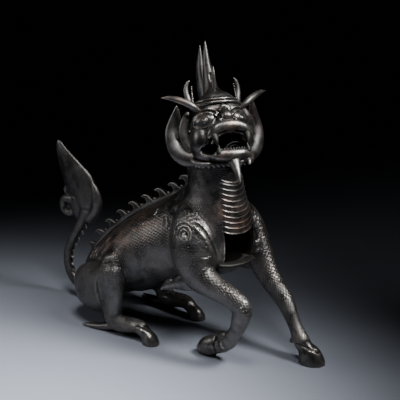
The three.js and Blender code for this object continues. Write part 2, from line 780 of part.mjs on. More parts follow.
// Turns a solid back into a mesh centred over the floor.
function meshOf(name, shape, material) {
  const { min, max } = shape.boundingBox();
  const placed = shape.translate([-(min[0] + max[0]) / 2, -(min[1] + max[1]) / 2, -min[2]]);
  const { vertProperties, triVerts } = placed.getMesh();
  const geometry = new THREE.BufferGeometry();
  geometry.setAttribute("position", new THREE.BufferAttribute(vertProperties, 3));
  geometry.setIndex(new THREE.BufferAttribute(triVerts, 1));
  const mesh = new THREE.Mesh(geometry, material);
  mesh.name = name;
  return mesh;
}

const bronze = new THREE.MeshStandardMaterial({ color: 0x3a332c, roughness: 0.42, metalness: 0.85 });
const qilin = new THREE.Group();
qilin.add(meshOf("qilin", figure(), bronze));

export default qilin;
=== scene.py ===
"""A seated bronze qilin: its detailed skin and patina, with the floor, light and camera it is shown with.

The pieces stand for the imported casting, in its frame and at its size. Every table below is in modelling
units, in the beast's own frame: it faces -Y, its left side is +X and the floor is Z = 0. UNIT and SHIFT turn
them into the row frame.
"""

from __future__ import annotations

import logging
import math
import time
from dataclasses import dataclass, field, replace
from enum import Enum
from itertools import product
from typing import Iterable, Sequence

import bmesh
import bpy
import numpy as np
from mathutils import Matrix, Vector
from mathutils.bvhtree import BVHTree

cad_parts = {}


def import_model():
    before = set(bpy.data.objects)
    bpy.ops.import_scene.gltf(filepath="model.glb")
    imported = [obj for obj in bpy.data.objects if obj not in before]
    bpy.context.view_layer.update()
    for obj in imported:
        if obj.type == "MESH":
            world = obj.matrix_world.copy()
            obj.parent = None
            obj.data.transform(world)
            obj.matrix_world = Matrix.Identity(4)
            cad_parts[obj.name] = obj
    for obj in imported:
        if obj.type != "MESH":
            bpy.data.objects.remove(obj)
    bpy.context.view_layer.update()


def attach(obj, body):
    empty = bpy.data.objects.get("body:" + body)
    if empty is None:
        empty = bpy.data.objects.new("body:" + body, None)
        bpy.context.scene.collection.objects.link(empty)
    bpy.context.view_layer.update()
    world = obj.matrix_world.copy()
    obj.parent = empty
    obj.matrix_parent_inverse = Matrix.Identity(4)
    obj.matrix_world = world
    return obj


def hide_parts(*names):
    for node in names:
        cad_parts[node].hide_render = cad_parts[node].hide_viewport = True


LOG = logging.getLogger("qilin")

NODE = "qilin"  # the CAD casting that the dressed pieces stand for
BODY = "root"
FIGURE_HEIGHT = 0.600  # metres from the floor to the tip of the tallest horn, as in the casting
HEIGHT_UNITS = 306.5  # modelling units in that height
UNIT = FIGURE_HEIGHT / HEIGHT_UNITS  # metres in a modelling unit
SHIFT = np.array([0.0028, 0.06505, 0.0])  # metres from the row frame's origin back to the modelling origin
UNIT_PER_MM = 1 / (UNIT * 1000)
WALL = 6.0 * UNIT_PER_MM  # the cast metal round the hollow, in units

Row = tuple[float, ...]
Path3 = tuple[Row, ...]


# Curves and swept forms


def curve(knots: Sequence[Row] | np.ndarray, t: np.ndarray) -> np.ndarray:
    """Places on a centripetal curve through the knots.

    Args:
        knots: the places that it passes, two or more, of any dimension.
        t: where along it to read, from 0 to 1, each knot an equal step.

    Returns:
        One row for each t.
    """
    p = np.asarray(knots, float)
    place = np.clip(np.asarray(t, float), 0, 1) * (len(p) - 1)
    i = np.minimum(place.astype(int), len(p) - 2)
    w = (place - i)[:, None]
    p = np.vstack([2 * p[0] - p[1], p, 2 * p[-1] - p[-2]])
    p0, p1, p2, p3 = p[i], p[i + 1], p[i + 2], p[i + 3]
    d0, d1, d2 = (np.sqrt(np.linalg.norm(b - a, axis=1))[:, None] for a, b in ((p0, p1), (p1, p2), (p2, p3)))
    d1 = np.where(d1 < 1e-4, 1.0, d1)
    d0 = np.where(d0 < 1e-4, d1, d0)
    d2 = np.where(d2 < 1e-4, d1, d2)
    m1 = ((p1 - p0) / d0 - (p2 - p0) / (d0 + d1) + (p2 - p1) / d1) * d1
    m2 = ((p2 - p1) / d1 - (p3 - p1) / (d1 + d2) + (p3 - p2) / d2) * d1
    return p1 + m1 * w + (3 * (p2 - p1) - 2 * m1 - m2) * w**2 + (2 * (p1 - p2) + m1 + m2) * w**3


def unit_rows(rows: np.ndarray) -> np.ndarray:
    """The rows, each scaled to length 1."""
    return rows / np.maximum(np.linalg.norm(rows, axis=-1, keepdims=True), 1e-12)


def smoothstep(low: float, high: float, x: np.ndarray) -> np.ndarray:
    """A soft step from 0 at low to 1 at high."""
    s = np.clip((x - low) / (high - low), 0, 1)
    return s * s * (3 - 2 * s)


@dataclass(frozen=True)
class Sweep:
    """A rounded form that follows a smooth line, closed at both ends.

    Each station is (x, y, z, half width, half depth). The width lies along side and the depth across it.
    Blunt is the share of the length over which each end closes. A pinch over 1 draws the section out to two
    edges, and one under 1 squares it.
    """

    stations: Path3
    side: Row = (1.0, 0.0, 0.0)
    around: int = 28
    rings: int = 40
    blunt: tuple[float, float] = (0.1, 0.1)
    pinch: float = 1.0

    def frame(self, t: np.ndarray) -> tuple[np.ndarray, ...]:
        """The centre, tangent, width direction, depth direction and half sizes at each t.

        Args:
            t: where along the form to read, from 0 to 1.

        Returns:
            Five arrays with one row for each t.
        """
        line = [s[:3] for s in self.stations]
        centre = curve(line, t)
        inside = np.clip(t, 0.002, 0.998)
        tangent = unit_rows(curve(line, inside + 1e-4) - curve(line, inside - 1e-4))
        side = np.array(self.side, float)
        across = unit_rows(side - tangent * (tangent @ side)[:, None])
        deep = np.cross(tangent, across)
        size = curve([s[3:5] for s in self.stations], t)
        return centre, tangent, across, deep, size

    def closing(self, t: np.ndarray) -> np.ndarray:
        """The share of its full girth that the form has at each t.

        Args:
            t: where along the form to read, from 0 to 1.

        Returns:
            One number for each t.
        """
        rise = np.clip(t / self.blunt[0], 0, 1)
        fall = np.clip((1 - t) / self.blunt[1], 0, 1)
        return np.sqrt(1 - (1 - rise) ** 2) * np.sqrt(1 - (1 - fall) ** 2)

    def cast(self, bm: bmesh.types.BMesh) -> list[bmesh.types.BMVert]:
        """Adds the form to a bmesh.

        Args:
            bm: the bmesh, in units.

        Returns:
            The new vertices.
        """
        made = bmesh.ops.create_uvsphere(bm, u_segments=self.around, v_segments=self.rings, radius=1.0)
        verts = made["verts"]
        ball = np.array([v.co for v in verts])
        fall = np.arccos(np.clip(ball[:, 2], -1, 1)) / math.pi
        turn = np.arctan2(ball[:, 1], ball[:, 0])
        cap = 0.14  # the share of the ball's rings that goes into each closed end
        low, high = self.blunt
        into_foot, into_head = (1 - np.cos(np.clip(s / cap, 0, 1) * math.pi / 2) for s in (fall, 1 - fall))
        t = low + (fall - cap) / (1 - 2 * cap) * (1 - low - high)
        t = np.where(fall < cap, low * into_foot, t)
        t = np.where(fall > 1 - cap, 1 - high * into_head, t)
        centre, _, across, deep, size = self.frame(t)
        close = np.where((fall < 1e-3) | (fall > 1 - 1e-3), 0, self.closing(t))
        wide = np.cos(turn) * size[:, 0] * close
        thick = np.sign(np.sin(turn)) * np.abs(np.sin(turn)) ** self.pinch * size[:, 1] * close
        place = centre + across * wide[:, None] + deep * thick[:, None]
        for v, co in zip(verts, place):
            v.co = co
        return verts

    def read(self, points: np.ndarray, samples: int = 72) -> tuple[np.ndarray, np.ndarray, np.ndarray]:
        """How points lie about the form.

        Args:
            points: one row for each point.
            samples: how finely the middle line is cut for the search.

        Returns:
            The distance out from the line as a share of the girth, the length along the line and the angle
            round it.
        """
        t = np.linspace(0, 1, samples)
        centre, tangent, across, deep, size = self.frame(t)
        run = np.concatenate([[0], np.cumsum(np.linalg.norm(np.diff(centre, axis=0), axis=1))])
        near = np.zeros(len(points), int)
        best = np.full(len(points), np.inf)
        for k in range(samples):
            d = ((points - centre[k]) ** 2).sum(1)
            closer = d < best
            near[closer] = k
            best[closer] = d[closer]
        off = points - centre[near]
        along = (off * tangent[near]).sum(1)
        wide = (off * across[near]).sum(1)
        thick = (off * deep[near]).sum(1)
        size = np.maximum(size[near], 0.5)
        over = np.where((near == 0) | (near == samples - 1), along, 0)
        out = np.sqrt((wide / size[:, 0]) ** 2 + (thick / size[:, 1]) ** 2 + (over / size.min(1)) ** 2)
        return out, run[near] + along, np.arctan2(thick, wide)


@dataclass(frozen=True)
class Egg:
    """An egg at a place, with three half sizes, turned by Euler angles in degrees."""

    place: Row
    half: Row
    turn: Row = (0.0, 0.0, 0.0)
    around: int = 28
    rings: int = 20

    def cast(self, bm: bmesh.types.BMesh) -> list[bmesh.types.BMVert]:
        """Adds the egg to a bmesh and returns its vertices.

        Args:
            bm: the bmesh, in units.

        Returns:
            The new vertices.
        """
        made = bmesh.ops.create_uvsphere(bm, u_segments=self.around, v_segments=self.rings, radius=1.0)
        rx, ry, rz = (math.radians(a) for a in self.turn)
        spin = Matrix.Rotation(rx, 4, "X") @ Matrix.Rotation(ry, 4, "Y") @ Matrix.Rotation(rz, 4, "Z")
        pose = Matrix.Translation(self.place) @ spin @ Matrix.Diagonal((*self.half, 1.0))
        bmesh.ops.transform(bm, matrix=pose, verts=made["verts"])
        return made["verts"]


def on_side(hand: int, stations: Path3) -> Path3:
    """The same stations on the side that hand names: 1 for the beast's left, -1 for its right."""
    return tuple((hand * s[0], *s[1:]) for s in stations)


def arched(half: Path3, middle: Path3 = ()) -> Path3:
    """The stations of an even arch, from those of its right half and those in its middle."""
    return half + middle + on_side(-1, half)[::-1]


def shifted(stations: Path3, x: float) -> Path3:
    """The stations moved towards the beast's left."""
    return tuple((s[0] + x, *s[1:]) for s in stations)


# Meshes


def link(name: str, mesh: bpy.types.Mesh) -> bpy.types.Object:
    """A new object with a mesh, in the scene.

    Args:
        name: the name of the object.
        mesh: its mesh.

    Returns:
        The object.
    """
    obj = bpy.data.objects.new(name, mesh)
    bpy.context.scene.collection.objects.link(obj)
    return obj


def baked(obj: bpy.types.Object) -> bpy.types.Mesh:
    """The object's mesh with its modifiers applied. The object itself is removed.

    Args:
        obj: the object, which is used up.

    Returns:
        The new mesh.
    """
    graph = bpy.context.evaluated_depsgraph_get()
    graph.update()
    mesh = bpy.data.meshes.new_from_object(obj.evaluated_get(graph))
    bpy.data.objects.remove(obj)
    return mesh


def mesh_of(bm: bmesh.types.BMesh, name: str) -> bpy.types.Mesh:
    """A mesh made from a bmesh, which is freed.

    Args:
        bm: the bmesh.
        name: the name of the mesh.

    Returns:
        The new mesh.
    """
    mesh = bpy.data.meshes.new(name)
    bm.to_mesh(mesh)
    bm.free()
    return mesh


def fused(bm: bmesh.types.BMesh, name: str, voxel: float) -> bpy.types.Mesh:
    """One skin round all the closed forms in a bmesh, in faces about one voxel wide.

    Args:
        bm: the bmesh, which is freed.
        name: the name of the mesh.
        voxel: how wide the faces are, in units.

    Returns:
        The new mesh.
    """
    obj = link(name, mesh_of(bm, name))
    melt = obj.modifiers.new("melt", "REMESH")
    melt.mode = "VOXEL"
    melt.voxel_size = voxel
    melt.adaptivity = 0
    return baked(obj)


def refined(mesh: bpy.types.Mesh, levels: int) -> bpy.types.Mesh:
    """The mesh with its faces divided smoothly.

    Args:
        mesh: the mesh.
        levels: how many times each face is divided.

    Returns:
        The new mesh.
    """
    obj = link(mesh.name, mesh)
    finer = obj.modifiers.new("finer", "SUBSURF")
    finer.levels = finer.render_levels = levels
    return baked(obj)


def floor_block(middle: float) -> bpy.types.Mesh:
    """A block far larger than the beast, on the floor, its middle that many block widths along X.

    Args:
        middle: where its middle is along X, in block widths.

    Returns:
        The new mesh.
    """
    size = 1000.0
    bm = bmesh.new()
    bmesh.ops.create_cube(bm, size=size)
    bmesh.ops.translate(bm, vec=(middle * size, 0, size / 2), verts=bm.verts)
    return mesh_of(bm, "block")


def combined(mesh: bpy.types.Mesh, other: bpy.types.Mesh, operation: str) -> bpy.types.Mesh:
    """The mesh joined with, cut by or cut to another closed mesh, by a Boolean operation.

    Args:
        mesh: the mesh.
        other: the other mesh, which is used up.
        operation: UNION, DIFFERENCE or INTERSECT.

    Returns:
        The new mesh.
    """
    obj = link(mesh.name, mesh)
    tool = link("tool", other)
    cut = obj.modifiers.new("cut", "BOOLEAN")
    cut.operation = operation
    cut.solver = "MANIFOLD"
    cut.object = tool
    result = baked(obj)
    bpy.data.objects.remove(tool)
    return result


def points_of(mesh: bpy.types.Mesh) -> np.ndarray:
    """The vertices of a mesh, one row each.

    Args:
        mesh: the mesh.

    Returns:
        The places of the vertices.
    """
    co = np.empty(len(mesh.vertices) * 3, np.float32)
    mesh.vertices.foreach_get("co", co)
    return co.reshape(-1, 3).astype(float)


def set_points(mesh: bpy.types.Mesh, co: np.ndarray) -> None:
    """Moves the vertices of a mesh."""
    mesh.vertices.foreach_set("co", co.astype(np.float32).ravel())
    mesh.update()


def normals_of(mesh: bpy.types.Mesh) -> np.ndarray:
    """The vertex normals of a mesh, one row each.

    Args:
        mesh: the mesh.

    Returns:
        The normals, each of length 1.
    """
    n = np.empty(len(mesh.vertices) * 3, np.float32)
    mesh.vertex_normals.foreach_get("vector", n)
    return n.reshape(-1, 3).astype(float)


def edges_of(mesh: bpy.types.Mesh) -> np.ndarray:
    """The two vertex numbers of each edge.

    Args:
        mesh: the mesh.

    Returns:
        One row for each edge.
    """
    e = np.empty(len(mesh.edges) * 2, np.int32)
    mesh.edges.foreach_get("vertices", e)
    return e.reshape(-1, 2)


def spread(edges: np.ndarray, values: np.ndarray) -> np.ndarray:
    """The mean of each vertex's neighbours, for one or more columns of values.

    Args:
        edges: the two vertex numbers of each edge.
        values: one row or number for each vertex.

    Returns:
        As many rows or numbers.
    """
    n = len(values)
    a, b = edges[:, 0], edges[:, 1]
    count = np.maximum(np.bincount(a, minlength=n) + np.bincount(b, minlength=n), 1)
    flat = values.reshape(n, -1)
    out = np.empty_like(flat, float)
    for k in range(flat.shape[1]):
        out[:, k] = np.bincount(a, flat[b, k], n) + np.bincount(b, flat[a, k], n)
    return (out / count[:, None]).reshape(values.shape)


def relaxed(co: np.ndarray, edges: np.ndarray, share: np.ndarray, rounds: int) -> np.ndarray:
    """The vertices drawn towards their neighbours, each by its own share, for a number of rounds.

    Args:
        co: the places of the vertices.
        edges: the two vertex numbers of each edge.
        share: how far each vertex goes in a round, from 0 to 1.
        rounds: how many rounds there are.

    Returns:
        The new places.
    """
    for _ in range(rounds):
        co = co + share[:, None] * (spread(edges, co) - co)
    return co


def to_row_frame(mesh: bpy.types.Mesh) -> None:
    """Turns a mesh from modelling units into metres in the row frame."""
    set_points(mesh, points_of(mesh) * UNIT - SHIFT)


def keep_float(mesh: bpy.types.Mesh, name: str, values: np.ndarray) -> None:
    """Stores one number for each vertex under a name that a material can read."""
    mesh.attributes.new(name, "FLOAT", "POINT").data.foreach_set("value", values.astype(np.float32))


def keep_warm(mesh: bpy.types.Mesh, spots: Sequence[Row]) -> None:
    """Stores how near each place is to the rust-brown spots, each (x, y, z, radius) in units.

    Args:
        mesh: the mesh, in units.
        spots: the spots.
    """
    co, warm = points_of(mesh), np.zeros(len(mesh.vertices))
    for x, y, z, radius in spots:
        warm = np.maximum(warm, np.exp(-((co - (x, y, z)) ** 2).sum(1) / radius**2))
    keep_float(mesh, "warm", warm)


def keep_tone(mesh: bpy.types.Mesh, reach: float) -> None:
    """Stores how far each place stands out or lies in, as the attributes worn and sunk.

    Args:
        mesh: the mesh, in metres.
        reach: how many metres of bulge or dip read as fully worn or sunk.
    """
    co, edges = points_of(mesh), edges_of(mesh)
    smooth = relaxed(co, edges, np.full(len(co), 0.8), 6)
    height = ((co - smooth) * normals_of(mesh)).sum(1)
    for _ in range(2):
        height = 0.5 * height + 0.5 * spread(edges, height)
    broad = ((co - relaxed(smooth, edges, np.full(len(co), 0.8), 30)) * normals_of(mesh)).sum(1)
    keep_float(mesh, "worn", np.clip(height / reach, 0, 1))
    keep_float(mesh, "sunk", np.clip(np.maximum(-height / reach, -broad / (3 * reach)), 0, 1))


# Carving


@dataclass(frozen=True)
class Stroke:
    """A line drawn along a skin that raises it, or cuts it where the height is below 0."""

    path: Path3
    width: float  # units from its middle to where it is a third as high
    height: float  # units
    fade: float = 0.12  # share of its length over which each end dies out
    reach: float = 2.5  # how far off the tangent plane of its line a place may lie

    def lift(self, co: np.ndarray, normals: np.ndarray, tree: BVHTree) -> np.ndarray:
        """How far each place on a skin moves out along its normal, with the line laid on the skin first.

        Args:
            co: the places of the skin's vertices.
            normals: their normals.
            tree: the skin, for finding the nearest place on it.

        Returns:
            One distance for each vertex, below 0 where it is cut.
        """
        line = curve(self.path, np.linspace(0, 1, 12 * len(self.path)))
        hits = [tree.find_nearest(Vector(place)) for place in line]
        line = np.array([hit[0] for hit in hits])
        margin = 3 * self.width + self.reach
        near = np.flatnonzero(np.all((co > line.min(0) - margin) & (co < line.max(0) + margin), axis=1))
        best = np.full(len(near), np.inf)
        step = np.zeros(len(near), int)
        for k, place in enumerate(line):
            d = ((co[near] - place) ** 2).sum(1)
            closer = d < best
            best[closer], step[closer] = d[closer], k
        off = co[near] - line[step]
        out = (off * normals[near]).sum(1)
        aside = np.sqrt(np.maximum(best - out**2, 0))
        share = step / (len(line) - 1)
        ends = smoothstep(0, self.fade, share) * smoothstep(0, self.fade, 1 - share) if self.fade else 1.0
        lift = np.zeros(len(co))
        lift[near] = self.height * np.exp(-((aside / self.width) ** 2)) * ends * (np.abs(out) < self.reach)
        return lift


def carved(mesh: bpy.types.Mesh, strokes: Iterable[Stroke]) -> None:
    """Draws strokes on a skin, all at once.

    Args:
        mesh: the skin.
        strokes: the lines that raise or cut it.
    """
    co, normals = points_of(mesh), normals_of(mesh)
    faces = [tuple(face.vertices) for face in mesh.polygons]
    tree = BVHTree.FromPolygons([Vector(place) for place in co], faces)
    lift = sum(stroke.lift(co, normals, tree) for stroke in strokes)
    set_points(mesh, co + normals * np.asarray(lift).reshape(-1, 1))


def both(stroke: Stroke) -> tuple[Stroke, Stroke]:
    """A stroke given for the beast's right side, and the same on its left."""
    return stroke, replace(stroke, path=on_side(-1, stroke.path))


def swollen(path: Path3, centre: Row, share: float) -> Path3:
    """A path scaled about a centre."""
    return tuple(tuple(c + (p - c) * share for p, c in zip(row, centre)) for row in path)


def melted(
    bm: bmesh.types.BMesh,
    name: str,
    voxel: float,
    rounds: int,
    share: float = 0.5,
    onto: bpy.types.Mesh | None = None,
) -> bpy.types.Mesh:
    """The forms in a bmesh under one skin, relaxed evenly.

    Args:
        bm: the bmesh, which is freed.
        name: the name of the new mesh.
        voxel: how wide its faces are, in units.
        rounds: how many times it is relaxed.
        share: how far each round draws a vertex towards its neighbours.
        onto: a mesh that the forms stand on, which is used up.

    Returns:
        The new mesh.
    """
    if onto is not None:
        bm.from_mesh(onto)
        bpy.data.meshes.remove(onto)
    mesh = fused(bm, name, voxel)
    set_points(mesh, relaxed(points_of(mesh), edges_of(mesh), np.full(len(mesh.vertices), share), rounds))
    return mesh


def finished(
    mesh: bpy.types.Mesh,
    name: str,
    pose: Matrix | None = None,
    reach: float = 0.0005,
    warm: Sequence[Row] = (),
) -> bpy.types.Object:
    """A piece in the row frame, with its worn and sunk places stored.

    Args:
        mesh: the mesh in units.
        name: the name of the piece.
        pose: where it stands, if it was made in a frame of its own.
        reach: how many metres of bulge read as fully worn.
        warm: the rust-brown spots, each (x, y, z, radius), in the mesh's frame.

    Returns:
        The piece.
    """
    keep_warm(mesh, warm)
    if pose is not None:
        mesh.transform(pose)
    to_row_frame(mesh)
    keep_tone(mesh, reach)
    mesh.shade_smooth()
    mesh.name = name
    return link(name, mesh)


# Tables of the body

TRUNK: Path3 = (
    (0, 160, 32, 7, 8),
    (0, 147, 38, 17, 15),
    (0, 130, 47, 29, 26),
    (0, 108, 59, 37, 33),
    (0, 80, 77, 41, 38),
    (0, 50, 95.5, 42, 40),
    (0, 18, 112, 41, 41),
    (0, -8, 118, 38, 38),
    (0, -26, 117, 32, 33),
)
NECK: Path3 = (
    (0, -10, 84, 24, 20),
    (0, -12, 96, 35, 33),
    (0, -14, 112, 40, 38),
    (0, -15, 130, 39, 37),
    (0, -16, 150, 33, 33),
    (0, -16, 168, 27, 28.5),
    (0, -16, 186, 23.5, 25.5),
    (0, -18, 212, 21, 22),
)
WITHERS: Path3 = (
    (0, 44, 122, 30, 20),
    (0, 18, 138, 27, 22),
    (0, 0, 160, 20, 18),
    (0, -8, 182, 16, 14),
)
NAPE: Path3 = (
    (0, 2, 174, 15, 13),
    (0, 2, 192, 15, 14),
    (1, 0, 210, 17, 15),
    (4, -4, 226, 19, 14),
)
SCAPULA: Path3 = (
    (17, 22, 138, 10, 8),
    (21, 12, 145, 10, 8.5),
    (24.5, 2, 149.5, 9, 8.5),
    (28.5, -8, 149, 7.5, 8),
    (31, -16, 145, 5, 6),
)
RIGHT_FORELEG: Path3 = (
    (-26, 4, 150, 7, 8),
    (-31, -5, 141, 13, 18),
    (-34, -13, 126, 16, 24),
    (-36, -16, 107, 16, 23),
    (-36, -24, 91, 13.5, 18),
    (-35, -41, 83, 11, 13),
    (-33, -59, 76.5, 9, 11),
    (-30.5, -72, 67, 8.8, 11),
    (-29, -69, 53, 8, 9.5),
    (-27, -63, 39, 7, 7.8),
    (-24.5, -55, 27, 8, 8.5),
    (-23, -44, 16, 7.3, 7.8),
    (-22, -33, 10, 7.5, 8.6),
)
RIGHT_FORE_HOOF: Path3 = (
    (-22, -38.5, 11.5, 7, 9),
    (-22, -33, 12, 9, 11.4),
    (-22, -25, 9.5, 9.2, 10.6),
    (-22, -16.5, 5, 7.4, 7.4),
    (-22, -11, 3, 4, 3.4),
)
RIGHT_ERGOT: Path3 = (
    (-25, -57, 27.5, 5.5, 7),
    (-25, -49, 26.5, 5, 7),
    (-24.6, -43, 25, 4, 6.6),
    (-24.3, -39.4, 24, 2, 5),
)
LEFT_FORELEG: Path3 = (
    (25, 2, 150, 7, 8),
    (30, -11, 141, 13, 17),
    (33, -25, 127, 15, 21),
    (35, -37, 110, 15, 18),
    (35, -47, 92, 13, 15.5),
    (33, -60, 74, 10.5, 12.5),
    (31, -77, 59, 9, 10.2),
    (29, -87, 47, 7.5, 8.5),
    (27, -96, 33, 6.6, 7.2),
    (26, -104, 21, 8, 9.2),
    (26, -112, 11, 7.5, 8),
)
LEFT_ERGOT: Path3 = (
    (27, -101, 24, 5, 5),
    (28, -95, 19, 4.5, 4),
    (28, -90, 14, 2, 2),
)
ELBOW_FLAME: Path3 = (
    (0, -16, 6, 3, 11),
    (1, -5, 0, 3.8, 9.6),
    (2, 5, -4, 3.4, 7),
    (2, 14, -8, 2.6, 4.6),
    (2, 22, -12, 2, 3.4),
    (2, 29, -17, 0.8, 1.2),
)
ELBOW_TONGUE: Path3 = (
    (1, 4, -4, 2.6, 4.4),
    (2, 14, -4.5, 2.2, 3.2),
    (2, 23, -7, 0.6, 1.1),
)
ELBOWS = {-1: (-37.0, -6.0, 81.0), 1: (36.0, -24.0, 84.0)}
HAUNCH: Path3 = (
    (17, 145, 34, 8, 9),
    (28, 134, 31, 13, 19),
    (34, 122, 37, 16, 27),
    (38, 105, 46, 16, 28),
    (41, 92, 58, 14, 21),
    (42, 85, 70, 11.5, 14),
    (39, 87, 80, 10, 13),
    (34, 91, 88, 6.5, 8),
)
SHIN: Path3 = (
    (41, 84, 80, 7.5, 9),
    (43, 83, 69, 11.5, 14),
    (43, 83, 50, 10.5, 13),
    (43, 84, 31, 9, 10.5),
    (43, 84, 17, 9, 10),
    (42, 77, 12, 8.2, 9.5),
    (41, 64, 13.5, 8, 8.5),
    (40, 51, 15, 7.5, 7.5),
    (40, 41, 9, 7, 7.5),
)
SPUR: Path3 = (
    (42, 82, 8, 5, 5),
    (44, 96, 4, 5.5, 4.2),
    (47, 108, 2.5, 4.5, 3.2),
    (51, 121, 2, 0.8, 0.8),
)
TAIL: Path3 = (
    (0, 152, 34, 9, 9),
    (0, 164, 24, 7.5, 8),
    (0, 174, 19, 6, 6.5),
    (0, 184, 27, 5, 5.5),
    (0, 187.5, 39, 5, 5.5),
    (0, 186, 53, 5, 5.5),
    (0, 180, 67, 5, 5.5),
    (0, 169, 85, 5, 5.5),
    (0, 160, 101, 6.5, 7.5),
    (0, 153, 114, 8, 9),
)
TAIL_FLAME: Path3 = (
    (0, 156, 104, 7, 12),
    (1, 158, 119, 9, 19),
    (1, 168, 134, 8, 21),
    (0, 178.5, 149, 6, 16),
    (-1, 188.5, 164, 3.8, 9.6),
    (-1, 195.6, 178.5, 1.2, 2.4),
)
TAIL_HEART: Path3 = (
    (0, 160, 92, 4, 5),
    (0, 166, 101, 6, 9),
    (0, 169, 111, 7, 11),
    (0, 168, 122, 7, 11),
)
TAIL_FRONT_LOCK: Path3 = (
    (0, 160, 95, 5, 6),
    (0, 148, 104, 6, 7),
    (0, 142, 117, 6, 6.5),
    (0, 144, 131, 4, 4.5),
    (0, 150, 141, 1, 1.5),
)
BACK_LINE: Path3 = (
    (0, 8, 180),
    (0, 13, 170),
    (0, 27, 157),
    (0, 45, 146.5),
    (0, 68, 133),
    (0, 90, 119),
    (0, 110, 103.5),
    (0, 128, 87),
    (0, 141, 72),
    (0, 152, 56),
    (0, 160, 42),
)


def hoof(x: float, y: float, heading: float, length: float, width: float, height: float) -> Sweep:
    """A hoof that stands on the floor and widens to its sole.

    Args:
        x: its middle, across the beast.
        y: its middle, along the beast.
        heading: the way that the toe points, in degrees from the way that the beast faces.
        length: half its length at the sole.
        width: half its width at the sole.
        height: its height.

    Returns:
        The form.
    """
    angle = math.radians(heading)
    hx, hy = math.sin(angle), -math.cos(angle)
    # Each row is units towards the toe, then shares of the height, width and length.
    rows = (
        (-3, 1.08, 0.6, 0.5),
        (-1.5, 0.8, 0.82, 0.72),
        (0.6, 0.4, 0.95, 0.88),
        (2, 0, 1, 1),
        (2, -0.25, 0.96, 0.96),
    )
    stations = tuple((x + hx * s, y + hy * s, r * height, width * w, length * k) for s, r, w, k in rows)
    return Sweep(stations, side=(-hy, hx, 0), around=32, rings=24, blunt=(0.16, 0.1))


SHOULDER_EDGE: Path3 = (
    (-41.4, -18.2, 146.6),
    (-39.6, -22.9, 145.6),
    (-38.3, -26.8, 143.6),
    (-37.4, -31, 139.7),
    (-35.8, -34.6, 134.4),
    (-33.6, -37.1, 128.1),
    (-31.6, -38.6, 122.2),
    (-29.8, -39.7, 115.1),
    (-28, -40.2, 107.3),
)
SHOULDER_RIM: Path3 = (
    (-43, -15, 145),
    (-42, -21.5, 143),
    (-40.8, -26.5, 139.5),
    (-39.4, -31, 134.5),
    (-37.6, -34.2, 128.6),
    (-35.6, -36.4, 122),
    (-33.6, -38, 115),
)
SWIRL: tuple[Path3, ...] = (
    (
        (-48.2, -3.2, 125.4),
        (-46.4, -1.8, 131.8),
        (-45.4, -3.5, 138.1),
        (-44.7, -7.4, 142.5),
        (-44, -12.3, 144.5),
        (-44, -17.8, 143.2),
        (-45.1, -21.7, 139.3),
        (-46.5, -24.1, 134.1),
        (-48.1, -23.5, 129.3),
    ),
    (
        (-49.1, -7.6, 127.8),
        (-47.9, -6.7, 132.4),
        (-46.7, -8.3, 137.6),
        (-45.9, -11.3, 140.6),
        (-45.7, -15.5, 140.6),
        (-46.2, -19.6, 138.1),
        (-47.5, -21.2, 133.8),
        (-48.7, -20.3, 129.8),
    ),
    (
        (-49.2, -11.5, 129.8),
        (-48.1, -10.6, 133.9),
        (-47.2, -12.4, 137.2),
        (-47, -15.9, 137.5),
        (-47.7, -18.3, 134.7),
        (-48.8, -17.9, 131.3),
    ),
)
FLANK_HAIR: tuple[Path3, ...] = (
    ((-27.1, 130.9, 64), (-22.9, 128.7, 72.3), (-16.5, 127.1, 79.8)),
    (
        (-37.5, 115.4, 70.3),
        (-31, 115.5, 76.1),
        (-29.4, 109.6, 84.9),
        (-27.7, 102.4, 94),
        (-27.7, 95.4, 100.1),
    ),
    ((-38.2, 107.6, 72.6), (-35.1, 104.7, 79), (-34.7, 97.8, 87.3), (-34.2, 91.1, 94.4)),
    ((-33.5, 121, 66.5), (-27.5, 121.5, 75), (-23.5, 117, 84.5)),
)
CORONETS: tuple[Path3, ...] = (
    (
        (-18, -35, 22.5),
        (-22, -34.6, 23.2),
        (-26.5, -36, 20.6),
        (-29.4, -37.4, 15.4),
        (-29.6, -38.4, 10),
        (-27.6, -39.4, 5),
    ),
    (
        (16.6, -101, 19.6),
        (17.4, -106, 19.6),
        (20.2, -113.8, 18),
        (22.3, -120.6, 16.5),
        (24.9, -124.9, 13.5),
        (30, -124, 14),
        (34, -118, 16),
    ),
    ((-46.5, 50, 18), (-45, 44.4, 17.1), (-42.4, 39.9, 15.2), (-38.9, 36.2, 13.2)),
)
KNUCKLES: tuple[Path3, ...] = (
    ((24, -48.6, 114.9), (24.2, -49.7, 112), (23.5, -49.5, 109)),
    ((22.7, -49.1, 105.8), (23.9, -51.3, 102.7)),
    ((-29, -45.5, 25.5), (-30.5, -48, 20.5), (-30, -50, 15)),
)
BACK_SLIT: Path3 = ((-20.6, 40.3, 140.9), (-23.3, 39.6, 139.2), (-25.7, 39.6, 137.3), (-27.4, 39.9, 135.6))
NECK_LINES: tuple[Path3, ...] = (
    ((-28.7, 27.2, 139.4), (-31.7, 22.8, 137.1), (-34.2, 20.2, 134.3), (-36.6, 19.7, 129.9)),
    ((-28.1, 22.6, 141.4), (-31.6, 17.8, 138.3), (-34.5, 14.8, 134.6), (-36.9, 14.7, 130.1)),
)
BODY_RUST: Path3 = (
    (-19, -44, 158, 13),
    (0, -52, 142, 15),
    (20, -48, 128, 10),
    (-24, 60, 122, 26),
    (-26, 95, 100, 22),
)
FACE_RUST: Path3 = (
    (22, -22, -14, 9),
    (20, -24, -24, 8),
    (-8, -29, -33, 8),
    (-8, -18, 19, 6),
    (-20, -10, 19, 6),
    (0, -30, -4, 7),
)
MANE_RUST: Path3 = ((-48, -1, 34, 9), (-40, -6, 31, 7), (36, 10, 12, 10))
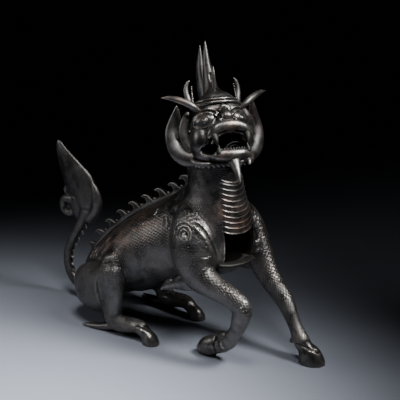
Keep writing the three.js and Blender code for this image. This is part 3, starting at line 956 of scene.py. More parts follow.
BODY_STROKES: tuple[Stroke, ...] = (
    Stroke(SHOULDER_EDGE, 0.9, -1.3, 0.15),
    Stroke(SHOULDER_RIM, 1.7, 1.0, 0.2),
    *(Stroke(path, 0.8, -0.9, 0.15) for path in SWIRL),
    Stroke(((-47.3, -17.2, 135.5), (-47.8, -17.2, 134.4)), 0.9, -1.6, 0),
    Stroke(BACK_SLIT, 0.75, -2.2, 0.05),
    Stroke(((-29.6, 49.9, 128), (-31.3, 50.4, 125.7), (-32.9, 50.6, 123.5)), 0.6, 0.9, 0.2),
    *(Stroke(path, 0.8, -0.5, 0.2) for path in NECK_LINES),
    *(Stroke(path, 0.9, -1.2, 0.2) for path in FLANK_HAIR),
    Stroke(((-51.9, 88.2, 74.4), (-54, 83.3, 65.3), (-53.6, 83.3, 54)), 2.2, 0.3, 0.3),
    Stroke(((-50, 95, 62), (-51, 95, 50), (-50, 94, 38), (-47, 92, 26)), 1.5, -1.0, 0.3, 4),
    *(Stroke(path, 1.0, -0.9, 0.1) for path in CORONETS),
    *(Stroke(path, 2.2, 1.3, 0.3) for path in KNUCKLES),
)


# The body


@dataclass(frozen=True)
class Limb:
    """One form of the body, with the row of scales that runs along it.

    A step below 0 lays the rows with their free edges towards the start of the form's line.
    """

    name: str
    form: Sweep
    scales_round: float = 0.0  # scales in one row round it, or 0 where it is smooth
    scale_step: float = 2.3  # units from one row to the next
    depth: float = 1.0  # how strongly the scales show


@dataclass(frozen=True)
class Hatch:
    """The cut opening in the chest, four-sided, its top and foot bowed, slanted across the breast."""

    half_top: float = 0.0775  # this and the next four are shares of the beast's height
    half_foot: float = 0.066
    height: float = 0.105
    bow: float = 5.0 / 600
    foot: float = 0.33  # from the floor up to its lower edge
    slant: float = 6.0  # degrees: it stands higher on the beast's right
    across: float = -2.4  # units towards the beast's left
    up: float = 0.6  # units
    front: float = -70.0  # where the cut starts, in units along the beast
    deep: float = 44.0  # how far it goes in

    def block(self) -> bpy.types.Mesh:
        """The block that cuts the opening.

        Returns:
            The new mesh.
        """
        steps = 14
        foot = [(self.half_foot * s, -self.bow * (1 - s * s) * 0.5) for s in np.linspace(-1, 1, steps)]
        top = [(self.half_top * s, self.height - self.bow * (1 - s * s)) for s in np.linspace(1, -1, steps)]
        cosine, sine = math.cos(math.radians(self.slant)), math.sin(math.radians(self.slant))
        bm = bmesh.new()
        verts = []
        for share_x, share_z in foot + top:
            x, z = share_x * HEIGHT_UNITS + self.across, share_z * HEIGHT_UNITS + self.up
            raised = self.foot * HEIGHT_UNITS - x * sine + z * cosine
            verts.append(bm.verts.new((x * cosine + z * sine, self.front, raised)))
        face = bm.faces.new(verts)
        pushed = bmesh.ops.extrude_face_region(bm, geom=[face])
        back = [v for v in pushed["geom"] if isinstance(v, bmesh.types.BMVert)]
        bmesh.ops.translate(bm, vec=(0, self.deep, 0), verts=back)
        bmesh.ops.recalc_face_normals(bm, faces=bm.faces)
        return mesh_of(bm, "hatch")


@dataclass
class Body:
    """The trunk, neck and legs, fused into one skin, hollow, with the cut opening in the chest."""

    voxel: float = 1.9
    hatch: Hatch = Hatch()
    limbs: list[Limb] = field(default_factory=list)

    def __post_init__(self) -> None:
        """Lists the limbs."""
        faint = 0.6
        self.limbs = [
            Limb("trunk", Sweep(TRUNK, around=56, rings=64, blunt=(0.1, 0.14)), 84, -2.5),
            Limb("neck", Sweep(NECK, around=48, rings=48, blunt=(0.1, 0.08)), 66, -2.5, faint),
            Limb("withers", Sweep(WITHERS, around=40, rings=32), 48, -2.5, faint),
            Limb("nape", Sweep(NAPE, around=32, rings=24), 30, -2.5, faint),
            Limb("right shoulder blade", Sweep(on_side(-1, SCAPULA), rings=24), 34, -2.5, faint),
            Limb("left shoulder blade", Sweep(SCAPULA, rings=24), 34, -2.5, faint),
            Limb("right foreleg", Sweep(RIGHT_FORELEG, around=36, rings=72, blunt=(0.06, 0.03)), 26, 2.5),
            Limb("left foreleg", Sweep(LEFT_FORELEG, around=36, rings=64, blunt=(0.06, 0.04)), 26, 2.5),
            Limb("right fore hoof", Sweep(RIGHT_FORE_HOOF, around=32, rings=24, blunt=(0.16, 0.12))),
            Limb("left fore hoof", hoof(26, -115, 8, 14.5, 11.5, 16)),
        ]
        for hand, nearer in ((-1, 0), (1, -3)):
            haunch, shin = (shifted(on_side(hand, path), nearer) for path in (HAUNCH, SHIN))
            side = "left" if hand > 0 else "right"
            self.limbs += [
                Limb(side + " haunch", Sweep(haunch, around=40, rings=40, blunt=(0.12, 0.12)), 36, 2.5),
                Limb(side + " shin", Sweep(shin, around=32, rings=64, blunt=(0.06, 0.05)), 24, 2.5),
                Limb(side + " hind hoof", hoof(hand * 40 + nearer, 38, 0, 10, 9, 12)),
            ]

    def skin(self) -> bpy.types.Mesh:
        """The fused skin, its joints softened.

        Returns:
            The new mesh.
        """
        bm = bmesh.new()
        for limb in self.limbs:
            limb.form.cast(bm)
        mesh = fused(bm, "body", self.voxel)
        co, edges = points_of(mesh), edges_of(mesh)
        reads = np.stack([limb.form.read(co)[0] for limb in self.limbs])
        reads.sort(axis=0)
        joint = np.clip(1 - (reads[1] - reads[0]) / 0.32, 0, 1)
        for _ in range(3):
            joint = 0.5 * joint + 0.5 * spread(edges, joint)
        co = relaxed(co, edges, np.clip(0.15 + joint, 0, 0.8), 10)
        co = relaxed(co, edges, np.full(len(co), 0.4), 2)
        set_points(mesh, co)
        return refined(mesh, 1)

    def hollow(self) -> bpy.types.Mesh:
        """The space inside the trunk and neck.

        Returns:
            The new mesh.
        """
        bm = bmesh.new()
        trunk = tuple((x, y, z, w - WALL, d - WALL) for x, y, z, w, d in TRUNK[1:])
        neck = tuple((x, y, z, w - WALL, d - WALL) for x, y, z, w, d in NECK[1:])
        Sweep(trunk, around=40, rings=32, blunt=(0.16, 0.16)).cast(bm)
        Sweep(neck, around=40, rings=32, blunt=(0.14, 0.1)).cast(bm)
        return fused(bm, "hollow", 2.2)

    def mark(self, mesh: bpy.types.Mesh) -> None:
        """Stores where on the skin scales show and where the inside of the hollow is, to be painted near
        black as shade, and lays the rows of scales.

        Args:
            mesh: the skin, in units.
        """
        co = points_of(mesh)
        reads = [limb.form.read(co) for limb in self.limbs]
        out = np.stack([r[0] for r in reads])
        owner = out.argmin(0)
        first, second = np.partition(out, 1, axis=0)[:2]
        has_scales = np.array([limb.scales_round > 0 for limb in self.limbs])
        depth = np.array([limb.depth for limb in self.limbs])
        skin = smoothstep(0.86, 0.93, first) * has_scales[owner] * depth[owner]
        keep_float(mesh, "scaled", skin * (0.35 + 0.65 * smoothstep(0.0, 0.1, second - first)))
        # painted shade: the inside of the hollow behind the breast is marked to be painted near black
        breast = (co[:, 1] < 20) & (np.abs(co[:, 0]) < 52) & (co[:, 2] > 74)
        keep_float(mesh, "inner", breast * (1 - smoothstep(0.84, 0.9, first)))
        self.lay_rows(mesh, owner, np.stack([r[1] for r in reads]), np.stack([r[2] for r in reads]))

    def lay_rows(self, mesh: bpy.types.Mesh, owner: np.ndarray, runs: np.ndarray, angles: np.ndarray) -> None:
        """Lays the rows of scales on the skin as a UV map that counts scales.

        Args:
            mesh: the skin.
            owner: which limb each vertex lies on.
            runs: for each limb, how far along it each vertex lies.
            angles: for each limb, the angle round it at which each vertex lies.
        """
        corner_vertex = np.empty(len(mesh.loops), np.int32)
        mesh.loops.foreach_get("vertex_index", corner_vertex)
        start, total = np.empty(len(mesh.polygons), np.int32), np.empty(len(mesh.polygons), np.int32)
        mesh.polygons.foreach_get("loop_start", start)
        mesh.polygons.foreach_get("loop_total", total)
        face = np.repeat(np.arange(len(start)), total)
        whose = owner[corner_vertex[start]][face]
        round_count = np.maximum(np.array([limb.scales_round for limb in self.limbs])[whose], 1)
        across = angles[whose, corner_vertex] * round_count / (2 * math.pi)
        first = across[start][face]
        across -= round_count * np.round((across - first) / round_count)
        along = runs[whose, corner_vertex] / np.array([limb.scale_step for limb in self.limbs])[whose]
        layer = mesh.uv_layers.new(name="scales")
        layer.data.foreach_set("uv", np.stack([across, along], axis=1).astype(np.float32).ravel())

    def build(self) -> list[bpy.types.Object]:
        """The body as finished objects, its right and left halves.

        Returns:
            The pieces.
        """
        whole = self.skin()
        carved(whole, BODY_STROKES)
        whole = combined(whole, self.hollow(), "DIFFERENCE")
        whole = combined(whole, self.hatch.block(), "DIFFERENCE")
        pieces = []
        for hand, name in ((-1, "body_right"), (1, "body_left")):
            mesh = combined(whole.copy(), floor_block(hand / 2), "INTERSECT")
            self.mark(mesh)
            piece = finished(mesh, name, reach=0.0006, warm=BODY_RUST)
            piece.data.set_sharp_from_angle(angle=math.radians(50))
            pieces.append(piece)
        bpy.data.meshes.remove(whole)
        return pieces


# The head

HEAD_PLACE: Row = (0, -21, 229)
HEAD_TURN, HEAD_LIFT, HEAD_ROLL = -32.0, 28.0, 1.5  # degrees: to the beast's right, muzzle up, left side down

HEAD_EGGS: tuple[tuple[Row, Row], ...] = (
    ((0, 6, 4), (29, 21, 27)),
    ((0, -4.5, 18), (23, 14, 10)),
    ((0, 1, -22), (29, 20, 13)),
    ((0, -19, -3), (20, 13, 8.5)),
    ((0, -13, -27.5), (18.5, 18, 6)),
    ((-20, -1, -9), (11.5, 15, 17)),
    ((20, -1, -9), (11.5, 15, 17)),
)
CAP: Path3 = (
    (0, 2, 22, 24, 20),
    (0, 1, 30, 19, 16),
    (0, 2, 37, 10, 9),
    (0, 2.5, 45, 3, 3),
)
NOSE: Path3 = (
    (0, -14, 19, 4.2, 3.6),
    (0, -20.6, 14, 4.6, 4.2),
    (0, -25, 9.2, 6, 4.8),
    (0, -27, 4.8, 5.8, 4),
)
UPPER_LIP = arched(
    (
        (-20.5, -22, -11, 2.4, 3),
        (-18.8, -26, -7.6, 3.6, 3.4),
        (-15.5, -28, -4.8, 4.6, 3.8),
        (-8, -29.2, -1.9, 5, 4),
    ),
    ((0, -29.6, -1.2, 5.1, 4.2),),
)
LOWER_LIP = arched(
    (
        (-17.2, -24.4, -28, 2.6, 2.6),
        (-15.4, -27, -28.6, 4.6, 3.6),
        (-9, -29.3, -29, 5.2, 4.2),
    ),
    ((0, -30.2, -29.3, 5.4, 4.2),),
)
GAPE: Path3 = (
    (0, -44, -17, 17, 7.6),
    (0, -30, -17, 16.5, 7.8),
    (0, -20, -17.6, 17, 8),
    (0, -8, -18, 16, 8),
    (0, 6, -18, 9, 5),
)
PALATE_EGG: tuple[Row, Row] = ((0, -10, -18), (18.5, 17, 8.5))
CORNER_EGGS = {hand: ((hand * 17.6, -14.8, -20.4), (10.4, 10, 4.9)) for hand in (-1, 1)}
EAR: Path3 = (
    (21, -6, 19, 4.5, 4.5),
    (26.5, -9.5, 22.5, 4, 5),
    (32, -9.5, 26.5, 3.2, 5.6),
    (40, -6.5, 31.2, 2.6, 5),
    (48, -1.5, 34.8, 1.7, 3.2),
    (54.6, 2.9, 36.3, 0.4, 0.5),
)
TEMPLE_LOCK: Path3 = (
    (21, 4, 22, 3.4, 3.8),
    (25, 6, 32, 2.6, 3.2),
    (26.6, 6, 42, 1.9, 2.6),
    (25.2, 4.5, 48.5, 1.2, 1.8),
    (22.5, 3, 51.5, 0.6, 0.9),
)
CHEEK_LOCK: Path3 = (
    (20, 10, -24, 8, 8),
    (30, 14, -22, 8, 9.5),
    (38.2, 16, -15, 6.6, 9.5),
    (42.8, 16, -4, 4.7, 8),
    (42.8, 15, 6, 4.2, 7),
    (41.2, 11, 15, 3.3, 5),
    (39.8, 6, 22, 2, 3),
    (39.2, 2, 28, 0.5, 0.6),
)
INNER_LOCK: Path3 = (
    (38.6, 14, -5, 3, 5),
    (38, 12.5, 6, 2.4, 4.5),
    (37.2, 9.5, 15, 1.6, 3.2),
    (36.4, 5, 25.5, 0.4, 0.5),
)
SIDE_LOCK: Path3 = (
    (26, 8, -17, 5, 6),
    (31, 9, -8, 4, 6),
    (32.6, 8, 3, 3.2, 6),
    (31, 5, 13, 3, 5),
    (28, 3, 21, 1.4, 2),
)
RUFF = arched(
    (
        (-31, 6, -24, 2.2, 2.2),
        (-29, 1, -29.5, 2.4, 2.2),
        (-24, -3.5, -32, 2.5, 2.2),
        (-14, -8, -33.4, 2.5, 2.2),
        (-5, -11, -34, 2.4, 2.2),
    )
)
TUFT: Path3 = (
    (17, -8, -29, 3, 3),
    (20, -10, -31.5, 3, 3),
    (20.5, -13, -35, 2, 2),
    (19.5, -15, -38.5, 0.4, 0.4),
)
FRONT_HORN: Path3 = (
    (0, 1, 38, 3.4, 4),
    (0, -2, 46, 2.4, 3),
    (0, -5, 55, 1.4, 2),
    (0, -6.3, 62.5, 0.4, 0.5),
)
MAIN_HORN: Path3 = (
    (0, 12, 30, 8, 9),
    (0, 9.5, 46, 7, 8.5),
    (-0.6, 8.5, 57, 5.4, 6.6),
    (-1.2, 7.5, 68, 4.2, 5),
    (-1, 6, 80, 2.5, 3),
    (-0.4, 5, 91, 0.5, 0.6),
)
REAR_HORN: Path3 = (
    (0, 16, 14, 6, 9),
    (0, 25, 32, 6.5, 10),
    (0, 30, 50, 6.2, 9),
    (0, 31, 66, 5, 7),
    (0.5, 29, 80, 2.8, 4),
    (1.4, 26, 92.5, 0.4, 0.5),
)
BEARD: Path3 = (
    (0, -24, -29, 8.4, 5.4),
    (0, -27.4, -35, 6.4, 5),
    (0, -30, -41.5, 4.6, 4.2),
    (0, -32.6, -49, 3, 3),
    (0, -35.2, -57.5, 0.5, 0.5),
)
TONGUE_ARCH: Path3 = (
    (-4.5, -26),
    (-3.6, -20.6),
    (2, -16.8),
    (6.3, -16.2),
    (10.4, -17.6),
    (12.4, -21.4),
    (12.8, -26),
)
UPPER_FANG: Path3 = (
    (16.6, -27.6, -8.6, 3.6, 3),
    (16.3, -29.4, -12.4, 3.2, 2.8),
    (15.7, -30, -16.6, 2, 2),
    (15, -30, -20.8, 0.3, 0.3),
)
LOWER_FANG: Path3 = (
    (14.6, -30, -27.6, 3, 2.4),
    (14.6, -30.4, -24.6, 2.3, 2),
    (14.4, -30.4, -21.6, 1.2, 1.2),
    (14.4, -30.2, -18.6, 0.25, 0.25),
)
EYE_MIDDLE: Row = (-17.4, -10.6, 7.6)
EYE_SLIT: Path3 = (
    (-27.4, -3.4, 5.4, 0.4, 3),
    (-22.4, -10.4, 7.6, 5.2, 3.4),
    (-17.4, -13.6, 8.8, 6.6, 3.6),
    (-12.8, -15.8, 9.0, 5.2, 3.4),
    (-6.8, -16.8, 9.4, 0.4, 3),
)
UPPER_LID: Path3 = (
    (-27.2, -3, 5.4),
    (-25.8, -6, 10.6),
    (-22, -9.8, 14.4),
    (-16.6, -13, 16),
    (-12, -15.4, 14.8),
    (-9, -16.6, 12.4),
    (-6.8, -16.8, 9.6),
)
LOWER_LID: Path3 = (
    (-6.8, -16.8, 9.6),
    (-10, -17.6, 6.2),
    (-13.8, -17, 3.2),
    (-18, -14.8, 1.4),
    (-22, -11.2, 1.3),
    (-25.4, -7, 2.6),
    (-27.2, -3, 5.4),
)
TEAR_FOLD: Path3 = (
    (-3, -22, 13.5),
    (-6, -19, 11),
    (-9.2, -19, 7),
    (-12.6, -20.6, 3),
    (-16, -21.6, -0.6),
)
CORNER_RIM: Path3 = (
    (-20.5, -14.5, -12.5),
    (-24, -9.5, -15),
    (-25, -7.5, -19.5),
    (-23.5, -9.5, -24.5),
    (-20, -14, -27.5),
    (-17.5, -20, -29.6),
)


def head_pose() -> Matrix:
    """From the head's own frame, where it faces -Y about its centre, to modelling units.

    Returns:
        The matrix.
    """
    turn, lift, roll = (math.radians(a) for a in (HEAD_TURN, -HEAD_LIFT, HEAD_ROLL))
    spin = Matrix.Rotation(turn, 4, "Z") @ Matrix.Rotation(lift, 4, "X") @ Matrix.Rotation(roll, 4, "Y")
    return Matrix.Translation(HEAD_PLACE) @ spin


def ring(across: float, along: float, height: float, girth: float) -> Path3:
    """Stations of a tube that circles the crown, open at the back of the head.

    Args:
        across: half its width.
        along: half its length.
        height: how high it lies above the head's centre.
        girth: half the tube's thickness.

    Returns:
        The stations.
    """
    middle = 1.5
    angles = np.radians(np.linspace(-250, 70, 25))
    return tuple((across * math.cos(a), middle + along * math.sin(a), height, girth, girth) for a in angles)


def circle(centre: Row, radius: float, out: Row) -> Path3:
    """Places round a circle that faces the way that out points.

    Args:
        centre: its middle.
        radius: its radius.
        out: the way that it faces.

    Returns:
        The places, the last on the first.
    """
    axis = Vector(out).normalized()
    turn = axis.to_track_quat("Z", "Y")
    arms = (Vector((math.cos(a) * radius, math.sin(a) * radius, 0)) for a in np.linspace(0, 2 * math.pi, 13))
    return tuple(tuple(Vector(centre) + turn @ arm) for arm in arms)


@dataclass
class Head:
    """The skull and face with its eyes, lips and cap, and all that stands out from it."""

    voxel: float = 0.56

    def base(self) -> bpy.types.Mesh:
        """The plain skull, its forms melted together and the mouth cut.

        Returns:
            The new mesh.
        """
        bm = bmesh.new()
        for place, half in HEAD_EGGS:
            Egg(place, half, around=48, rings=32).cast(bm)
        Sweep(CAP, around=48, rings=32, blunt=(0.2, 0.06)).cast(bm)
        Sweep(NOSE, around=32, rings=20).cast(bm)
        mesh = melted(bm, "head", 0.8, 12, 0.6)
        bm = bmesh.new()
        Sweep(GAPE, around=40, rings=32, blunt=(0.05, 0.2), pinch=0.7).cast(bm)
        Egg(*PALATE_EGG, around=40, rings=28).cast(bm)
        for hand, corner in CORNER_EGGS.items():
            Egg(*corner, (0, 0, hand * 20), around=32, rings=20).cast(bm)
        return combined(mesh, fused(bm, "mouth", 0.8), "DIFFERENCE")

    def face(self) -> bpy.types.Object:
        """The skull with its eyes, nose, lips, gums and the two rolls of the cap.

        Returns:
            The piece.
        """
        bm = bmesh.new()
        lip = {"side": (0, 0, 1), "around": 28, "rings": 64, "blunt": (0.06, 0.06)}
        Sweep(UPPER_LIP, **lip, pinch=0.78).cast(bm)
        Sweep(LOWER_LIP, **lip, pinch=0.85).cast(bm)
        gum = tuple((x * 0.88, y + 2, z - 6.4, 1.1, 1.6) for x, y, z, _, _ in UPPER_LIP)
        Sweep(gum, **lip).cast(bm)
        for roll in (ring(20.6, 17.6, 27.8, 1.5), ring(23.6, 20.2, 24.2, 1.6)):
            Sweep(roll, side=(0, 0, 1), around=16, rings=96, blunt=(0.01, 0.01)).cast(bm)
        Egg((2.2, -18.4, 16.6), (4.7, 2.1, 4.5)).cast(bm)
        for hand in (-1, 1):
            socket = Egg((hand * 16.0, -8.8, 8.8), (13.4, 7.2, 10), (-10, hand * 5, hand * 34), 48, 36)
            socket.cast(bm)
            Egg((hand * 6.4, -25, 5), (3, 3.6, 2.3), (0, 0, hand * 35)).cast(bm)
            Egg((hand * 7.6, -16.4, 9.8), (4, 3.4, 4.6)).cast(bm)
            Egg((hand * 19.4, -23.5, -6.4), (1.7, 1.7, 1.7)).cast(bm)
            Egg((hand * 28.5, 3.4, 1.6), (2.2, 2.2, 1.8)).cast(bm)
        mesh = combined(melted(bm, "head", self.voxel, 3, onto=self.base()), self.sockets(), "DIFFERENCE")
        bm = bmesh.new()
        for hand in (-1, 1):
            eyeball = Egg((hand * 16.8, -10, 8.2), (10.8, 6.2, 7.2), (-8, hand * 5, hand * 34), 48, 36)
            eyeball.cast(bm)
            for lid, girth in ((UPPER_LID, 1.15), (LOWER_LID, 1.0)):
                path = on_side(-hand, swollen(lid, EYE_MIDDLE, 1.02))
                rows = tuple((*place, girth, girth) for place in path)
                Sweep(rows, side=(0, 0, 1), around=16, rings=56, blunt=(0.06, 0.06)).cast(bm)
        mesh = melted(bm, "head", self.voxel, 1, onto=mesh)
        carved(mesh, self.strokes())
        carved(mesh, self.finer_strokes())
        self.mark_mouth(mesh)
        return finished(mesh, "head", head_pose(), warm=FACE_RUST)

    @staticmethod
    def mark_mouth(mesh: bpy.types.Mesh) -> None:
        """Stores where the inside of the mouth is, to be painted near black as shade.

        Args:
            mesh: the head, in its own frame.
        """
        co = points_of(mesh)
        lobes = (PALATE_EGG, *CORNER_EGGS.values())
        reach = np.min([(((co - place) / half) ** 2).sum(1) for place, half in lobes], axis=0)
        back = smoothstep(-27, -22, co[:, 1]) * (1 - smoothstep(19, 23.5, np.abs(co[:, 0])))
        # painted shade: the inside of the mouth is marked to be painted near black
        keep_float(mesh, "inner", (1 - smoothstep(1.1, 1.4, reach)) * back)

    @staticmethod
    def sockets() -> bpy.types.Mesh:
        """The almond openings between the lids.

        Returns:
            The new mesh.
        """
        bm = bmesh.new()
        for hand in (-1, 1):
            Sweep(on_side(-hand, EYE_SLIT), side=(0, 0, 1), around=32, rings=48, blunt=(0.05, 0.05)).cast(bm)
        return fused(bm, "sockets", 0.5)

    def strokes(self) -> list[Stroke]:
        """The broad carving of the face.

        Returns:
            The strokes, drawn together.
        """
        pairs = (
            Stroke(swollen(UPPER_LID, EYE_MIDDLE, 1.3), 1.6, 0.5, 0.2),
            Stroke(TEAR_FOLD, 1.0, -1.2, 0.1),
            Stroke(CORNER_RIM, 1.2, 0.6, 0.15),
        )
        return [s for pair in pairs for s in both(pair)]

    def finer_strokes(self) -> list[Stroke]:
        """The cuts and rims that are drawn over the broad carving.

        Returns:
            The strokes, drawn together.
        """
        pupil, gaze = (-18.8, -14.8, 7.4), (-0.55, -0.82, 0.1)
        cuts = (
            Stroke(swollen(UPPER_LID, EYE_MIDDLE, 1.14), 0.75, -1.5, 0.06),
            Stroke(swollen(LOWER_LID, EYE_MIDDLE, 1.2), 0.7, -0.6, 0.2),
            Stroke(circle(pupil, 3.4, gaze), 0.5, -0.5, 0),
            Stroke(circle(pupil, 0.5, gaze), 0.9, 0.7, 0),
            Stroke(((-4.4, -29.5, 3.6), (-5.4, -29, 4.8), (-5.6, -28, 6.2)), 0.9, -2.0, 0.1),
        )
        whorl = (
            Stroke(circle((2.2, -20.6, 16.6), 4.6, (0, -1, 0.2)), 0.7, -1.2, 0),
            Stroke(circle((2.2, -20.8, 16.6), 2.2, (0, -1, 0.2)), 0.5, -0.6, 0),
        )
        return [*whorl, *(s for cut in cuts for s in both(cut))]

    def mouth(self) -> bpy.types.Object:
        """The arched tongue, the fangs and the small teeth.

        Returns:
            The piece.
        """
        bm = bmesh.new()
        outer = tuple((x, -14, z, 8, 1.3) for x, z in TONGUE_ARCH)
        inner = tuple((x * 0.6 + 1.8, -13, z * 0.55 - 10, 8, 1.0) for x, z in TONGUE_ARCH)
        for rows in (outer, inner):
            Sweep(rows, side=(0, 1, 0), around=32, rings=48, blunt=(0.03, 0.03)).cast(bm)
        tooth = {"around": 16, "rings": 16, "blunt": (0.05, 0.08)}
        for hand in (-1, 1):
            for fang in (UPPER_FANG, LOWER_FANG):
                Sweep(on_side(hand, fang), **tooth).cast(bm)
        for across in np.linspace(-1, 1, 9):
            x, y = across * 11.4, -30.4 + 2 * across**2
            Sweep(((x, y, -27, 1.6, 1.6), (x, y, -24.4, 1.5, 1.4), (x, y, -22.4, 0.7, 0.6)), **tooth).cast(bm)
        return finished(mesh_of(bm, "mouth"), "mouth", head_pose())

    def mane(self) -> bpy.types.Object:
        """The ears, the locks beside the cap and behind the cheeks, and the ruff under the jaw.

        Returns:
            The piece.
        """
        bm = bmesh.new()
        leaf = {"side": (0, 1, 0), "around": 28, "blunt": (0.08, 0.05)}
        Sweep(RUFF, **leaf, rings=72).cast(bm)
        for x, y, z in curve([row[:3] for row in RUFF], np.linspace(0.03, 0.97, 19)):
            Egg((x * 1.015, y * 1.015, z - 1.6), (1.7, 1.7, 2.4), around=16, rings=12).cast(bm)
        Sweep(TUFT, around=20, rings=24).cast(bm)
        for hand in (-1, 1):
            Egg((hand * 31, 13, -13), (9, 4.5, 9)).cast(bm)
            ear = tuple((x, y, z, w * 0.9, d * 0.64) for x, y, z, w, d in on_side(hand, EAR))
            Sweep(ear, side=(0, 1, 0), rings=56, blunt=(0.08, 0.04), pinch=1.2).cast(bm)
            for step in np.linspace(0, 1, 8):
                bead = (hand * (22.4 - 0.8 * step), 2.6, 28 + 17 * step)
                Egg(bead, (1.1, 1.1, 1.1), around=12, rings=8).cast(bm)
            for path, rings in ((CHEEK_LOCK, 72), (INNER_LOCK, 56), (SIDE_LOCK, 48), (TEMPLE_LOCK, 48)):
                Sweep(on_side(hand, path), **leaf, rings=rings).cast(bm)
        mesh = melted(bm, "mane", 0.6, 3)
        return finished(mesh, "mane", head_pose(), warm=MANE_RUST)

    def horns(self) -> bpy.types.Object:
        """The three horns, one behind the other.

        Returns:
            The piece.
        """
        bm = bmesh.new()
        shape = {"around": 28, "rings": 64, "blunt": (0.08, 0.03)}
        for path in (FRONT_HORN, MAIN_HORN, REAR_HORN):
            Sweep(path, **shape, pinch=1.15).cast(bm)
        mesh = melted(bm, "horns", 0.55, 2)
        carved(mesh, (Stroke(((0.6, 0, 59), (0.2, 0, 53), (-0.6, 0, 47)), 1.8, -2.2, 0.3),))
        return finished(mesh, "horns", head_pose())

    def beard(self) -> bpy.types.Object:
        """The pointed beard.

        Returns:
            The piece.
        """
        bm = bmesh.new()
        Sweep(BEARD, around=28, rings=40, pinch=1.2, blunt=(0.1, 0.03)).cast(bm)
        mesh = melted(bm, "beard", 0.55, 2)
        return finished(mesh, "beard", head_pose())

    def build(self) -> list[bpy.types.Object]:
        """The head as finished objects."""
        return [self.face(), self.mouth(), self.mane(), self.horns(), self.beard()]


# The crest, tail and fittings


@dataclass(frozen=True)
class SpineRow:
    """A row of hooked spines along a line in the middle plane, each leaning the way that the line runs."""

    line: Path3
    start: float  # share of the line's length at the first spine
    end: float
    count: int
    tall: tuple[float, float]  # units, at the first spine and the last
    half: float  # half its thickness at the foot
    foot: float  # how far off the line it starts
    sink: float  # how far inside that it is rooted
    nubs: bool  # whether a nub stands between each two

    HOOK = (
        (-0.6, 0.0),
        (-0.36, 0.3),
        (-0.14, 0.62),
        (0.12, 0.88),
        (0.44, 1.02),
        (0.84, 1.0),
        (0.92, 0.86),
        (0.62, 0.76),
        (0.44, 0.58),
        (0.4, 0.36),
        (0.48, 0.16),
        (0.66, 0.0),
    )
    NUB = ((-0.2, 0), (-0.14, 0.18), (0, 0.3), (0.16, 0.26), (0.22, 0))

    def by_length(self, share: np.ndarray) -> np.ndarray:
        """Places along the line, each share a share of its length, with the way it runs.

        Args:
            share: how far along each place is, from 0 to 1.

        Returns:
            A row of y, z and the direction's y and z for each share.
        """
        fine = curve(self.line, np.linspace(0, 1, 400))[:, 1:3]
        run = np.concatenate([[0], np.cumsum(np.linalg.norm(np.diff(fine, axis=0), axis=1))])
        at = np.clip(share, 0, 1) * run[-1]
        place = np.stack([np.interp(at, run, fine[:, k]) for k in (0, 1)], axis=1)
        ahead = np.stack([np.interp(at + 0.5, run, fine[:, k]) for k in (0, 1)], axis=1)
        behind = np.stack([np.interp(at - 0.5, run, fine[:, k]) for k in (0, 1)], axis=1)
        return np.hstack([place, unit_rows(ahead - behind)])

    def cast(self, bm: bmesh.types.BMesh) -> None:
        """Adds the row to a bmesh as one thin closed form for each spine and nub.

        Args:
            bm: the bmesh, in units.
        """
        for i in range(self.count):
            share = i / (self.count - 1)
            at = self.start + (self.end - self.start) * share
            tall = self.tall[0] + (self.tall[1] - self.tall[0]) * share
            hook = [(a * tall, self.foot + o * tall, self.half * (1 - 0.5 * o)) for a, o in self.HOOK]
            self.fin(bm, at, hook)
            if self.nubs and i < self.count - 1:
                gap = self.start + (self.end - self.start) * (i + 0.62) / (self.count - 1)
                self.fin(bm, gap, [(a * tall, self.foot + o * tall, self.half * 0.7) for a, o in self.NUB])

    def fin(self, bm: bmesh.types.BMesh, share: float, outline: list[Row]) -> None:
        """Adds one fin. Each outline point is (along, out, half thickness), open along its foot.

        Args:
            bm: the bmesh, in units.
            share: where on the line it stands, from 0 to 1.
            outline: its outline.
        """
        y, z, ry, rz = self.by_length(np.array([share]))[0]
        (first, _, first_half), (last, _, last_half) = outline[0], outline[-1]
        loop = [(first, -self.sink, first_half), *outline, (last, -self.sink, last_half)]
        side = [bm.verts.new((-h, y + ry * a - rz * o, z + rz * a + ry * o)) for a, o, h in loop]
        pushed = bmesh.ops.extrude_face_region(bm, geom=[bm.faces.new(side)])
        for v in pushed["geom"]:
            if isinstance(v, bmesh.types.BMVert):
                v.co.x = -v.co.x


@dataclass
class Crest:
    """The band along the back with its hooked spines."""

    def build(self) -> list[bpy.types.Object]:
        """The crest as one object.

        Returns:
            The pieces.
        """
        bm = bmesh.new()
        n = len(BACK_LINE)
        band = tuple((*p, 3.6 if i % (n - 1) else 2, 3.2) for i, p in enumerate(BACK_LINE))
        Sweep(band, around=24, rings=96, blunt=(0.03, 0.03)).cast(bm)
        SpineRow(BACK_LINE, 0.06, 0.86, 9, (11.0, 9.2), 2.8, 1.8, 5, True).cast(bm)
        bmesh.ops.recalc_face_normals(bm, faces=bm.faces)
        mesh = melted(bm, "crest", 0.55, 1)
        return [finished(mesh, "crest")]


def curl(root: Row, reach: float, rise: float, radius: float, girth: float) -> Path3:
    """Stations of a lock that runs back from its root and rolls under.

    Args:
        root: where it starts.
        reach: how far back it runs before it rolls.
        rise: how much higher it is there.
        radius: the radius of the roll where it starts.
        girth: half the lock's thickness at its root.

    Returns:
        The stations.
    """
    x, y, z = root
    rows = [(x, y, z, girth, girth), (x, y + reach / 2, z + rise * 0.8, girth, girth)]
    along, up = y + reach, z + rise - radius
    for share in np.linspace(0, 1, 9):
        angle = math.pi / 2 - share * 1.45 * math.pi
        arm, fat = radius * (1 - 0.4 * share), girth * (1 - 0.35 * share)
        rows.append((x, along + math.cos(angle) * arm, up + math.sin(angle) * arm, fat, fat * 0.8))
    return tuple(rows)


